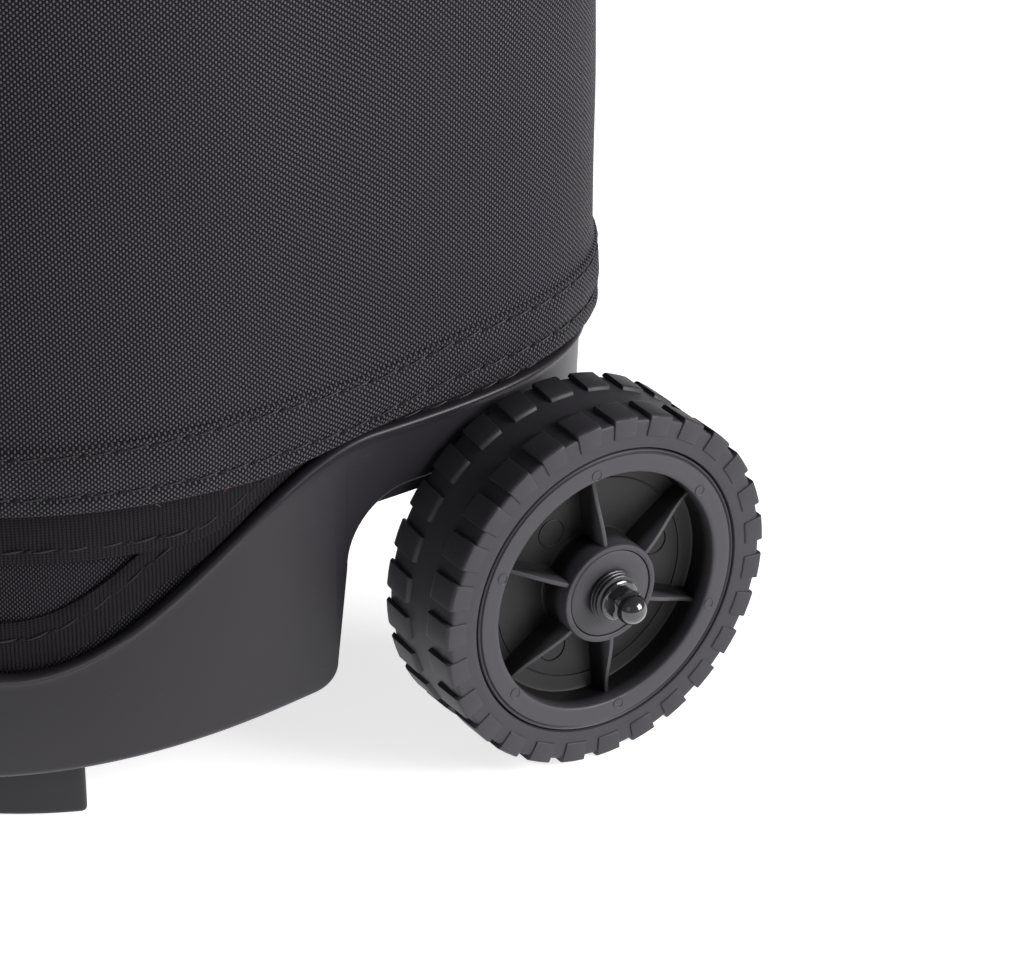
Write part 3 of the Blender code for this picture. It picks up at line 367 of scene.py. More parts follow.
@dataclass(frozen=True)
class Woven(Finish):
    """Plain-weave coated nylon. The yarns follow the piece's cloth coordinates, in metres."""

    warp: float = 0.00118
    weft: float = 0.00108
    shine: Colour = (0.094, 0.088, 0.104)
    depth: float = 0.00016

    def lay(self, bench: Bench) -> None:
        """Adds the nodes.

        Args:
            bench: the node tree to fill.
        """
        cloth = bench.add("ShaderNodeUVMap", {"uv_map": Skin.CLOTH})
        wander = bench.noise(cloth, 120.0, 1.0) - 0.5
        run, rise, _ = bench.parts(cloth)
        across = run / self.warp + wander * 0.2
        up = rise / self.weft + wander * 0.2
        parity = (across.floor() + up.floor()).even()
        side = (across.fract() - 0.5) * 2
        tall = (up.fract() - 0.5) * 2
        warp_crown = (1 - side * side) * (1 - tall * tall * 0.45)
        weft_crown = (1 - tall * tall) * (1 - side * side * 0.45)
        height = parity * warp_crown + (1 - parity) * weft_crown * 0.72
        yarn = bench.noise(bench.stretched(cloth, (1.0, 12.0, 1.0)), 260.0, 1.0)
        panel = bench.noise(cloth, 9.0, 2.0)
        lit = height.ramp(0.26, 0.84) * (0.12 + parity * 0.88) * (0.8 + yarn * 0.4)
        low = tuple(c * 0.4 for c in self.colour)
        base = bench.mix(lit, low, self.shine)
        base = bench.mix((panel - 0.5) * 0.4 + 0.12, base, self.colour)
        bench.feed(Base_Color=base, Roughness=self.roughness + (panel - 0.5) * 0.1 - lit * 0.12)
        bench.feed(Normal=bench.bump(height, self.depth), Sheen_Weight=0.03, Sheen_Roughness=0.4)


@dataclass(frozen=True)
class Ribbed(Finish):
    """Grosgrain tape: rounded ribs across its length, each crossed by fine warp yarns, the crowns painted
    light and the hollows dark.
    """

    rib: float = 0.00165
    yarn: float = 0.00115

    def lay(self, bench: Bench) -> None:
        """Adds the nodes.

        Args:
            bench: the node tree to fill.
        """
        cloth = bench.add("ShaderNodeUVMap", {"uv_map": Skin.CLOTH})
        run, rise, _ = bench.parts(cloth)
        wander = bench.noise(cloth, 150.0, 1.0) - 0.5
        rib = ((run / self.rib + wander * 0.3).fract() - 0.5) * 2
        cross = ((rise / self.yarn).fract() - 0.5) * 2
        height = (1 - rib * rib) * (1 - cross * cross * 0.6)
        highlight_patches = bench.noise(cloth, 40.0, 2.0)
        # Painted highlight and shade: the colour follows each rib's height, crowns up to twice as light,
        # hollows darker, in slow patches.
        low = tuple(c * 0.35 for c in self.colour)
        high = tuple(c * 2.1 for c in self.colour)
        bench.feed(Base_Color=bench.mix(height.ramp(0.2, 0.9) * (0.6 + highlight_patches * 0.5), low, high))
        bench.feed(Roughness=self.roughness, Normal=bench.bump(height, 0.00022))
        bench.feed(Sheen_Weight=0.02, Sheen_Roughness=0.5)


@dataclass(frozen=True)
class Twisted(Finish):
    """Sewing thread, whose plies show as fine slanting lines, painted lighter and darker across each ply as
    light and shade.
    """

    def lay(self, bench: Bench) -> None:
        """Adds the nodes.

        Args:
            bench: the node tree to fill.
        """
        place = bench.place()
        x, y, z = bench.parts(place)
        ply = ((x + y + z * 1.4) * 1700.0).fract()
        fuzz = bench.noise(place, 1500.0, 1.0)
        # Painted light and shade: the colour rises across each ply with the same ramp as its bump, with a
        # little random fuzz.
        low = tuple(c * 0.5 for c in self.colour)
        high = tuple(c * 1.5 for c in self.colour)
        bench.feed(Base_Color=bench.mix(ply * 0.6 + fuzz * 0.4, low, high), Roughness=self.roughness)
        bench.feed(Normal=bench.bump(ply, 0.00008))


@dataclass(frozen=True)
class Metal(Finish):
    """Bare metal with drawing or turning lines and faint handling marks."""

    lines: Colour = (1.0, 1.0, 0.04)
    lines_per_metre: float = 1400.0
    line_depth: float = 0.00002

    def lay(self, bench: Bench) -> None:
        """Adds the nodes.

        Args:
            bench: the node tree to fill.
        """
        place = bench.place()
        drawn = bench.noise(bench.stretched(place, self.lines), self.lines_per_metre, 2.0)
        marks = bench.noise(place, 45.0, 3.0)
        low = tuple(c * 0.82 for c in self.colour)
        bench.feed(Base_Color=bench.mix(drawn * 0.6 + marks * 0.4, low, self.colour), Metallic=1.0)
        bench.feed(Roughness=self.roughness + (marks - 0.5) * 0.16 + (drawn - 0.5) * 0.12)
        bench.feed(Normal=bench.bump(drawn, self.line_depth))


@dataclass(frozen=True)
class Coated(Finish):
    """Painted or plated steel: orange peel, and the coat rubbed thinner in patches."""

    peel_per_metre: float = 900.0
    peel_depth: float = 0.00003
    metallic: float = 0.0
    coat: float = 0.3

    def lay(self, bench: Bench) -> None:
        """Adds the nodes.

        Args:
            bench: the node tree to fill.
        """
        place = bench.place()
        peel = bench.noise(place, self.peel_per_metre, 1.0)
        rub = bench.noise(place, 70.0, 3.0)
        pale = tuple(c * 1.8 + 0.006 for c in self.colour)
        bench.feed(Base_Color=bench.mix(rub.ramp(0.55, 0.8) * 0.5, self.colour, pale))
        bench.feed(Roughness=self.roughness + (rub - 0.5) * 0.08, Metallic=self.metallic)
        bench.feed(Coat_Weight=self.coat, Coat_Roughness=0.06)
        bench.feed(Normal=bench.bump(peel, self.peel_depth))


@dataclass(frozen=True)
class Etched(Finish):
    """A circuit board: a solder mask over tracks, with tinned pads in rows."""

    def lay(self, bench: Bench) -> None:
        """Adds the nodes.

        Args:
            bench: the node tree to fill.
        """
        place = bench.place()
        _, y, z = bench.parts(place)
        column = (y * 400.0).fract()
        row = (z * 400.0).fract()
        choice = bench.noise(bench.stretched(place, (1.0, 0.2, 1.0)), 260.0, 1.0).ramp(0.48, 0.52)
        track = (row.above(0.35) - row.above(0.62)) * choice
        pad = 1 - ((column - 0.5) * (column - 0.5) + (row - 0.5) * (row - 0.5)).above(0.05)
        pads = pad * (1 - choice)
        green = bench.mix(track, self.colour, tuple(c * 1.9 for c in self.colour))
        bench.feed(Base_Color=bench.mix(pads, green, (0.62, 0.62, 0.58)), Metallic=pads)
        bench.feed(Roughness=self.roughness - pads * 0.15, Normal=bench.bump(track + pads, 0.00005))


@dataclass(frozen=True)
class Plain(Finish):
    """The floor: pale paper with a faint, slow change of tone, lit through from below."""

    glow: float = 0.72

    def lay(self, bench: Bench) -> None:
        """Adds the nodes.

        Args:
            bench: the node tree to fill.
        """
        tone = bench.noise(bench.place(), 2.0, 1.0)
        low = tuple(c * 0.985 for c in self.colour)
        bench.feed(Base_Color=bench.mix(tone, low, self.colour), Roughness=self.roughness)
        bench.feed(Emission_Color=(1.0, 1.0, 1.0), Emission_Strength=self.glow)


TUB_PLASTIC = Moulded("tub_plastic", "black_plastic", (0.0182, 0.0163, 0.0206), 0.38, 0.33,
                      scratches=0.7, dust=0.25)
# The wheel's plastic paints shade into its recessed web, behind the ring's face.
WHEEL_PLASTIC = Moulded("wheel_plastic", "black_plastic", (0.040, 0.0375, 0.045), 0.46,
                        scratches=0.3, dust=0.3, painted_recess_shade=(0.221, 0.2270))
DARK_PLASTIC = Moulded("dark_plastic", "black_plastic", (0.018, 0.018, 0.020), 0.46)
TEXTURED_PLASTIC = Moulded("textured_plastic", "black_plastic", (0.017, 0.017, 0.019), 0.52,
                           grain_depth=0.00012, grain_per_metre=1500.0, scratches=0.2)
TREAD = Moulded("tread_compound", "tyre", (0.034, 0.0318, 0.038), 0.50, 0.32, mottle=0.22,
                grain_depth=0.00005, grain_per_metre=1900.0, scratches=0.2, dust=0.35)
FOOT_RUBBER = Moulded("foot_rubber", "rubber", (0.019, 0.0182, 0.0205), 0.55, 0.3,
                      grain_depth=0.00006, dust=0.5)
GRIP_RUBBER = Moulded("soft_grip", "grip_rubber", (0.024, 0.024, 0.026), 0.62,
                      grain_depth=0.0001, grain_per_metre=1200.0, scratches=0.1)
GREY_PLASTIC = Moulded("grey_plastic_grained", "grey_plastic", (0.16, 0.16, 0.17), 0.5, scratches=0.6)
SIGNAL_RED = Moulded("switch_red", "red_plastic", (0.45, 0.03, 0.02), 0.28, mottle=0.06,
                     grain_depth=0.00001, scratches=0.1, coat=0.4)
MARKING = Moulded("dial_marking", "black_plastic", (0.62, 0.62, 0.60), 0.5, mottle=0.05, scratches=0.0)
NYLON = Woven("nylon_weave", "nylon_cover", (0.0090, 0.0082, 0.0106), 0.62, 0.05)
LINING = Woven("lining_weave", "nylon_cover", (0.012, 0.0110, 0.0138), 0.70, 0.05, warp=0.0010, weft=0.0010,
               shine=(0.054, 0.050, 0.060))
GROSGRAIN = Ribbed("grosgrain_tape", "nylon_cover", (0.0080, 0.0068, 0.0086), 0.78, 0.12)
THREAD = Twisted("black_thread", "nylon_cover", (0.022, 0.0218, 0.024), 0.6)
# A matte near-black finish for the needle holes: painted shade of each stitch's dimple.
NEEDLE_HOLE_SHADE = Twisted("needle_hole_shade", "nylon_cover", (0.003, 0.003, 0.003), 0.95)
STRAY = Twisted("stray_fibre", "nylon_cover", (0.40, 0.15, 0.07), 0.6)
STEEL = Metal("drawn_steel", "steel", (0.55, 0.56, 0.58), 0.32)
ALUMINIUM = Metal("satin_aluminium", "aluminium", (0.72, 0.73, 0.75), 0.28)
BLACK_STEEL = Coated("black_steel_coat", "black_steel", (0.024, 0.0235, 0.026), 0.36, metallic=0.35)
GLOSS_BLACK = Coated("gloss_black_plate", "gloss_black", (0.026, 0.025, 0.028), 0.16, 0.7, peel_depth=0.00001,
                     metallic=0.25, coat=0.9)
BOARD = Etched("solder_mask", "circuit_board", (0.02, 0.16, 0.06), 0.4)
PAPER = Plain("studio_paper", "black_plastic", (0.94, 0.94, 0.94), 0.8)


# Mesh building


class Skin:
    """Gathers grids of points into one mesh, with cloth coordinates where a weave needs them."""

    CLOTH = "cloth"

    def __init__(self) -> None:
        """Starts empty."""
        self.points: list[np.ndarray] = []
        self.faces: list[tuple[int, ...]] = []
        self.cloth: list[tuple[float, float]] = []
        self.count = 0

    def grid(self, points: np.ndarray, cloth: np.ndarray | None = None, around: bool = False,
             closed: bool = False, flip: bool = False, keep: np.ndarray | None = None) -> "Skin":
        """Adds a grid of quads.

        Args:
            points: rows by columns by 3.
            cloth: rows by columns by 2, one more in a direction that closes.
            around: the last column joins the first.
            closed: the last row joins the first.
            flip: the faces turn the other way.
            keep: which cells are made, rows by columns.

        Returns:
            The skin, so that calls chain.
        """
        rows, columns = points.shape[:2]
        start = self.count
        self.points.append(points.reshape(-1, 3))
        self.count += rows * columns
        for i in range(rows if closed else rows - 1):
            for j in range(columns if around else columns - 1):
                if keep is not None and not keep[i, j]:
                    continue
                corners = [(i, j), (i, j + 1), (i + 1, j + 1), (i + 1, j)]
                if flip:
                    corners.reverse()
                self.faces.append(tuple(start + (a % rows) * columns + b % columns for a, b in corners))
                for a, b in corners:
                    self.cloth.append(tuple(cloth[a, b]) if cloth is not None else (0.0, 0.0))
        return self

    def polygon(self, points: np.ndarray, flip: bool = False) -> "Skin":
        """Adds one flat face.

        Args:
            points: its corners in order.
            flip: turns it to face the other way.

        Returns:
            This skin, so that calls can be chained.
        """
        start = self.count
        self.points.append(points)
        self.count += len(points)
        order = list(range(start, start + len(points)))
        self.faces.append(tuple(order[::-1] if flip else order))
        self.cloth += [(0.0, 0.0)] * len(points)
        return self

    def box(self, low: Sequence[float], high: Sequence[float], turn: Matrix | None = None) -> "Skin":
        """Adds a box between two corners, turned about the world's origin if asked.

        Args:
            low: its lowest corner.
            high: its highest corner.
            turn: the turn, if any.

        Returns:
            This skin, so that calls can be chained.
        """
        ring = [(low[0], low[1]), (high[0], low[1]), (high[0], high[1]), (low[0], high[1])]
        layers = [np.array([(x, y, z) for x, y in ring], float) for z in (low[2], high[2])]
        if turn is not None:
            layers = [np.array([turn @ Vector(p) for p in layer]) for layer in layers]
        self.grid(np.array(layers), around=True)
        self.polygon(layers[0], flip=True)
        return self.polygon(layers[1])

    def build(self, name: str, finish: Finish, body: str, sharp: float = 38.0, weld: float = 2e-6,
              outward: bool = True) -> bpy.types.Object:
        """Makes the piece.

        Args:
            name: the piece's name.
            finish: its surface.
            body: the moving body it rides on.
            sharp: edges sharper than this many degrees stay crisp.
            weld: points this near each other become one.
            outward: the faces of a closed mesh are turned out.

        Returns:
            The piece.
        """
        mesh = bpy.data.meshes.new(name)
        mesh.from_pydata(np.concatenate(self.points).tolist(), [], self.faces)
        layer = mesh.uv_layers.new(name=self.CLOTH)
        layer.data.foreach_set("uv", np.array(self.cloth, np.float32).ravel())
        shape = bmesh.new()
        shape.from_mesh(mesh)
        bmesh.ops.remove_doubles(shape, verts=shape.verts, dist=weld)
        if outward:
            bmesh.ops.recalc_face_normals(shape, faces=shape.faces)
        shape.to_mesh(mesh)
        shape.free()
        mesh.shade_smooth()
        mesh.set_sharp_from_angle(angle=math.radians(sharp))
        piece = bpy.data.objects.new(name, mesh)
        bpy.context.scene.collection.objects.link(piece)
        return dress(piece, finish, body)


def dress(piece: bpy.types.Object, finish: Finish, body: str) -> bpy.types.Object:
    """Gives a new piece its finish and the body it rides on.

    Args:
        piece: the new piece.
        finish: its surface.
        body: what it rides on.

    Returns:
        The same piece.
    """
    piece.data.materials.clear()
    piece.data.materials.append(finish.material())
    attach(piece, body)
    LOG.info("%s: %d faces, on %s", piece.name, len(piece.data.polygons), body)
    return piece


def smooth(value: np.ndarray | float, start: float, end: float) -> np.ndarray:
    """A soft step from 0 at start to 1 at end."""
    share = np.clip((np.asarray(value, float) - start) / (end - start), 0, 1)
    return share * share * (3 - 2 * share)


def arc(centre: tuple[float, float], radius: float, first: float, last: float, steps: int) -> list:
    """Points on an arc, from one angle in degrees to another, both ends included."""
    turns = np.radians(np.linspace(first, last, steps + 1))
    return [(centre[0] + radius * math.cos(a), centre[1] + radius * math.sin(a)) for a in turns]


class Plan:
    """The machine's outline from above, measured by its length from the middle of the front.

    It runs towards +X, round the rear and back along -X. A place beside it is given by the run along
    it, a height, and how far it stands proud of it.
    """

    SAMPLES = 6000

    def __init__(self, half_width: float, front: float, rear: float, front_power: float = 2.2,
                 rear_power: float = 3.9) -> None:
        """Measures the outline.

        Args:
            half_width: from the middle to either side.
            front: from the middle to the front.
            rear: from the middle to the rear.
            front_power: 2 is an ellipse, 4 is nearly a rectangle.
            rear_power: the same, for the rear half.
        """
        turns = np.linspace(-math.pi / 2, 3 * math.pi / 2, self.SAMPLES + 1)
        c, s = np.cos(turns), np.sin(turns)
        power = np.where(s > 0, rear_power, front_power)
        depth = np.where(s > 0, rear, front)
        self.x = np.sign(c) * np.abs(c) ** (2 / power) * half_width
        self.y = np.sign(s) * np.abs(s) ** (2 / power) * depth
        across = np.sign(self.x) * (np.abs(self.x) / half_width) ** (power - 1) / half_width
        ahead = np.sign(self.y) * (np.abs(self.y) / depth) ** (power - 1) / depth
        size = np.hypot(across, ahead)
        self.out_x, self.out_y = across / size, ahead / size
        steps = np.hypot(np.diff(self.x), np.diff(self.y))
        self.runs = np.concatenate(([0.0], np.cumsum(steps)))
        self.length = float(self.runs[-1])

    def at(self, run: np.ndarray, height: np.ndarray, proud: np.ndarray | float = 0.0) -> np.ndarray:
        """Points beside the outline.

        Args:
            run: the length along it.
            height: above the ground.
            proud: outwards from it.

        Returns:
            The points, as an array whose last axis is x, y, z.
        """
        run, height, proud = np.broadcast_arrays(run, height, proud)
        along = np.mod(run, self.length)
        x, y, out_x, out_y = (np.interp(along, self.runs, values)
                              for values in (self.x, self.y, self.out_x, self.out_y))
        return np.stack((x + out_x * proud, y + out_y * proud, height), -1)

    def depth_at(self, run: np.ndarray) -> np.ndarray:
        """The y of the outline at a run along it."""
        return np.interp(np.mod(run, self.length), self.runs, self.y)

    def run_at_depth(self, y: float, side: int = 1) -> float:
        """Where one side of the outline reaches a y.

        Args:
            y: the y to reach.
            side: 1 for +X and -1 for -X.

        Returns:
            The run.
        """
        half = len(self.runs) // 2 + 1
        run = float(np.interp(y, self.y[:half], self.runs[:half]))
        return run if side > 0 else self.length - run

    def run_at_width(self, x: float, rear: bool = False) -> float:
        """Where the front, or the rear, reaches an x of either sign.

        Args:
            x: the x to reach.
            rear: looks along the rear instead of the front.

        Returns:
            The run.
        """
        quarter = len(self.runs) // 4 + 1
        if rear:
            half = len(self.runs) // 2 + 1
            run = float(np.interp(-abs(x), -self.x[quarter:half], self.runs[quarter:half]))
        else:
            run = float(np.interp(abs(x), self.x[:quarter], self.runs[:quarter]))
        return run if x >= 0 else self.length - run


COVER_LOW, COVER_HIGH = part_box("bag_cover")
PLAN = Plan(COVER_HIGH.x, -COVER_LOW.y, COVER_HIGH.y)


def even_runs(start: float, end: float, step: float, through: Sequence[float] = ()) -> np.ndarray:
    """Runs from start to end about a step apart, the nearest moved onto each value in through.

    Args:
        start: the first run.
        end: the last run.
        step: about how far apart they are.
        through: values that are met exactly.

    Returns:
        The runs, in order.
    """
    runs = np.linspace(start, end, max(2, round((end - start) / step) + 1))
    for value in through:
        if start < value < end:
            runs[np.abs(runs - value).argmin()] = value
    return np.sort(runs)


def ribbon(runs: np.ndarray, section: Callable[[np.ndarray], list[tuple]], around: bool) -> Skin:
    """Sweeps a section along the plan.

    Args:
        runs: the stations.
        section: gives the section's (height, proud) pairs at all stations at once.
        around: the sweep is a whole turn, so the last station is left out and joined.

    Returns:
        The skin, a closed tube where it goes all the way round, and capped where it doesn't.
    """
    stations = runs[:-1] if around else runs
    pairs = section(stations)
    rows = np.array([PLAN.at(stations, height, proud) for height, proud in pairs])
    full = section(runs)
    girth = np.zeros((len(full) + 1, len(runs)))
    for index in range(1, len(full) + 1):
        (h1, p1), (h0, p0) = full[index % len(full)], full[index - 1]
        girth[index] = girth[index - 1] + np.hypot(h1 - h0, p1 - p0)
    cloth = np.stack((np.broadcast_to(runs, girth.shape), girth), -1)
    skin = Skin().grid(rows, cloth, around=around, closed=True)
    if not around:
        skin.polygon(rows[:, 0], flip=True)
        skin.polygon(rows[:, -1])
    return skin


def stitch_row(name: str, level: Callable[[np.ndarray], np.ndarray], proud: float, runs: tuple[float, float],
               pitch: float, body: str, thread: float = 0.00045, slant: float = 0.0012) -> None:
    """Sews one row along the plan: the thread over each stitch, and a near-black cap where the needle went
    in, painted shade for the pucker's dimple.

    Args:
        name: the row's name.
        level: the height of the row at a run.
        proud: where the cloth's face is.
        runs: where the row starts and ends.
        pitch: from one needle hole to the next.
        body: what it rides on.
        thread: the thread's radius.
        slant: how far each stitch climbs.
    """
    sewn, holes = Skin(), Skin()
    turns = np.linspace(0, TAU, 7)[:-1]
    for index in range(int((runs[1] - runs[0]) / pitch)):
        start = runs[0] + index * pitch
        share = np.linspace(0.0, 1.0, 7)
        swell = np.sqrt(np.clip(np.sin(np.pi * np.clip(share, 0.03, 0.97)), 0, 1))
        middle = start + pitch * (0.16 + 0.72 * share)
        height = level(middle) + slant * (share - 0.5)
        lift = proud - 0.0005 + 0.0007 * swell
        ring = [PLAN.at(middle, height + thread * swell * math.sin(a), lift + thread * swell * math.cos(a))
                for a in turns]
        sewn.grid(np.array(ring), closed=True)
        # Each needle hole gets a small near-black cap: painted shade standing in for the dimple the needle
        # pulls into the cloth.
        wobble = 0.25 * math.sin(index * 2.39)
        hole = start + pitch * (0.02 + 0.01 * wobble)
        width, tall = 0.0017 + 0.0003 * wobble, 0.00085
        rows = []
        for lean in np.radians([0, 30, 60, 89]):
            around = np.linspace(0, TAU, 11)[:-1]
            out = np.full_like(around, proud + 0.00022 * math.sin(lean))
            rows.append(PLAN.at(hole + width * math.cos(lean) * np.cos(around),
                                level(hole + 0 * around) + tall * math.cos(lean) * np.sin(around)
                                + 0.35 * width * math.cos(lean) * np.cos(around), out))
        holes.grid(np.array(rows), around=True)
    sewn.build(name + "_thread", THREAD, body, outward=False)
    holes.build(name + "_holes", NEEDLE_HOLE_SHADE, body, outward=False)


# The lower body


@dataclass
class Assembly:
    """A group of pieces that are made together."""

    body: str = "base"

    def build(self) -> None:
        """Makes the pieces."""
        raise NotImplementedError


class Heights:
    """The lines that run round the machine, each a height in metres at a depth y."""

    ARCH_Y = (0.0195, 0.0245)
    ARCH_RADIUS = 0.030
    ARCH_TOP = 0.121
    BELLY_CORNER = 0.010

    @staticmethod
    def lip(y: np.ndarray) -> np.ndarray:
        """The tub's lip, low at the front and high beside the wheels."""
        return 0.0755 + 0.0745 * smooth(y, -0.114, 0.037)

    @staticmethod
    def hem(y: np.ndarray) -> np.ndarray:
        """The lower edge of the cloth cover."""
        return 0.147 + 0.009 * smooth(y, -0.020, 0.060)

    @staticmethod
    def low_stitch(y: np.ndarray) -> np.ndarray:
        """The hem's lower row of stitches."""
        return 0.155 + 0.002 * smooth(y, -0.050, 0.015) + 0.0081 * smooth(y, 0.010, 0.075)

    @staticmethod
    def high_stitch(y: np.ndarray) -> np.ndarray:
        """The hem's upper row of stitches."""
        return 0.1718 + 0.0028 * smooth(y, -0.090, 0.0) + 0.0065 * smooth(y, 0.020, 0.090)

    @staticmethod
    def high_tape(y: np.ndarray) -> np.ndarray:
        """The lower edge of the tape inside the hem."""
        return 0.123 + 0.022 * smooth(y, -0.046, 0.013)

    @staticmethod
    def low_tape_bump(y: np.ndarray) -> np.ndarray:
        """How far the tape along the lip rides up where the lip starts to climb."""
        return 0.0055 * smooth(y, -0.110, -0.056) * (1 - smooth(y, -0.056, -0.035))

    @classmethod
    def low_tape(cls, y: np.ndarray) -> np.ndarray:
        """The lower edge of the tape along the lip."""
        return cls.lip(y) + 0.0005 + cls.low_tape_bump(y)

    @classmethod
    def belly(cls, y: np.ndarray) -> np.ndarray:
        """The tub's underside, with the tunnel for the wheels at the rear.

        Args:
            y: the places along the machine.

        Returns:
            The height at each.
        """
        low = 0.0389 + 0.095 * np.asarray(y, float)
        start, end = cls.ARCH_Y
        corner = cls.BELLY_CORNER
        near = np.clip(y - (start - corner), 0, corner)
        low = low + corner - np.sqrt(np.maximum(corner ** 2 - near ** 2, 0))
        round_start = cls.ARCH_TOP - cls.ARCH_RADIUS
        wall_low = 0.0389 + 0.095 * start + corner
        wall = wall_low + (round_start - wall_low) * np.clip((y - start) / (end - start), 0, 1)
        over = np.clip(y - end, 0, cls.ARCH_RADIUS)
        roof = round_start + np.sqrt(np.maximum(cls.ARCH_RADIUS ** 2 - (cls.ARCH_RADIUS - over) ** 2, 0))
        return np.where(y < start, low, np.where(y < end, wall, roof))


@dataclass
class Tub(Assembly):
    """The moulded tub: a rolled lip, a smooth wall, and an underside with the wheel tunnel."""

    inset: float = 0.006
    finish: Finish = TUB_PLASTIC

    def stations(self) -> np.ndarray:
        """Runs from the front's middle to the rear's, close together round the tunnel's corners.

        Returns:
            The runs, in order.
        """
        half = PLAN.length / 2
        corner = PLAN.run_at_depth(Heights.ARCH_Y[0] - Heights.BELLY_CORNER)
        wall = [PLAN.run_at_depth(y) for y in Heights.ARCH_Y]
        roof = PLAN.run_at_depth(Heights.ARCH_Y[1] + Heights.ARCH_RADIUS)
        ease = 1 - np.cos(np.linspace(0, math.pi / 2, 16))
        bend = np.sin(np.linspace(0, math.pi / 2, 12))
        return np.concatenate((
            even_runs(0, corner, 0.005)[:-1], corner + (wall[0] - corner) * bend[:-1],
            np.linspace(wall[0], wall[1], 9)[:-1], wall[1] + (roof - wall[1]) * ease[:-1],
            even_runs(roof, half, 0.005)))

    def build(self) -> None:
        """Makes the tub as one skin."""
        half = self.stations()
        runs = np.concatenate((half, PLAN.length - half[-2:0:-1]))
        y = PLAN.depth_at(runs)
        lip, low = Heights.lip(y), Heights.belly(y)
        edge = 0.0040 - 0.0022 * smooth(y, 0.010, 0.022)
        out = -self.inset
        rolled = [(-0.034, -0.0092), (-0.0022, -0.0092), (-0.0006, -0.0088), (0.0, -0.0078),
                  (0.0001, -0.0060), (-0.0002, -0.0047), (-0.0009, -0.0038), (-0.0018, -0.0036),
                  (-0.0026, -0.0041), (-0.0031, -0.0050), (-0.0040, -0.0057), (-0.0058, out)]
        rows = [PLAN.at(runs, lip + rise, proud) for rise, proud in rolled]
        top, bottom = lip - 0.0058, low + edge
        for share in np.linspace(0, 1, 26)[1:]:
            bulge = 0.0011 * math.sin(math.pi * share) * (1 - smooth(y, -0.05, 0.015))
            rows.append(PLAN.at(runs, top + (bottom - top) * share, out - 0.0009 * share + bulge))
        for turn in np.radians([15, 30, 45, 60, 75, 90]):
            proud = out - 0.0009 - edge * (1 - math.cos(turn))
            rows.append(PLAN.at(runs, bottom - edge * math.sin(turn), proud))
        skin = Skin().grid(np.array(rows), around=True)
        rim = rows[-1]
        right, left = rim[:len(half)], np.concatenate((rim[:1], rim[len(half) - 1:][::-1]))
        bands = [right + (left - right) * share for share in np.linspace(0, 1, 9)]
        skin.grid(np.array(bands))
        tub = skin.build("tub_shell", self.finish, self.body, sharp=50)
        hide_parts("base_tub")


@dataclass
class Foot(Assembly):
    """The curved rubber foot under the front."""

    outer: float = -0.024
    inner: float = -0.044
    corner: float = 0.0028
    rear: float = -0.077

    def end_run(self, proud: float) -> float:
        """The run at which a line beside the outline reaches the foot's rear."""
        half = np.linspace(0, PLAN.length / 2, 3000)
        return float(np.interp(self.rear, PLAN.at(half, 0.0, proud)[:, 1], half))

    def build(self) -> None:
        """Makes the foot, rounded at both ends."""
        end = PLAN.run_at_depth(self.rear)
        ends = {proud: self.end_run(proud) / end for proud in (self.outer, self.inner)}
        inner = np.linspace(-end + self.corner, end - self.corner, 90)
        ease = self.corner * np.sin(np.linspace(0, math.pi / 2, 6))[1:]
        runs = np.concatenate((-end + self.corner - ease[::-1], inner, end - self.corner + ease))
        past = np.maximum(np.abs(runs) - (end - self.corner), 0)
        trim = self.corner - np.sqrt(np.maximum(self.corner ** 2 - past ** 2, 0))
        top = Heights.belly(PLAN.depth_at(runs)) - 0.0002
        round_corner = [(self.corner * (1 - math.cos(a)), self.corner * (1 - math.sin(a)))
                        for a in np.radians([0, 22, 45, 68, 90])]
        near, far = runs * ends[self.outer], runs * ends[self.inner]
        rows = [PLAN.at(near, top, self.outer - trim)]
        rows += [PLAN.at(near, rise + trim * 0.3, self.outer - trim - side) for side, rise in round_corner]
        rows += [PLAN.at(far, rise + trim * 0.3, self.inner + trim + side)
                 for side, rise in round_corner[::-1]]
        rows.append(PLAN.at(far, top, self.inner + trim))
        rows = np.array(rows)
        skin = Skin().grid(rows, closed=True).polygon(rows[:, 0], flip=True).polygon(rows[:, -1])
        foot = skin.build("foot_bar", FOOT_RUBBER, self.body, sharp=50)
        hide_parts("front_foot")


# The cloth


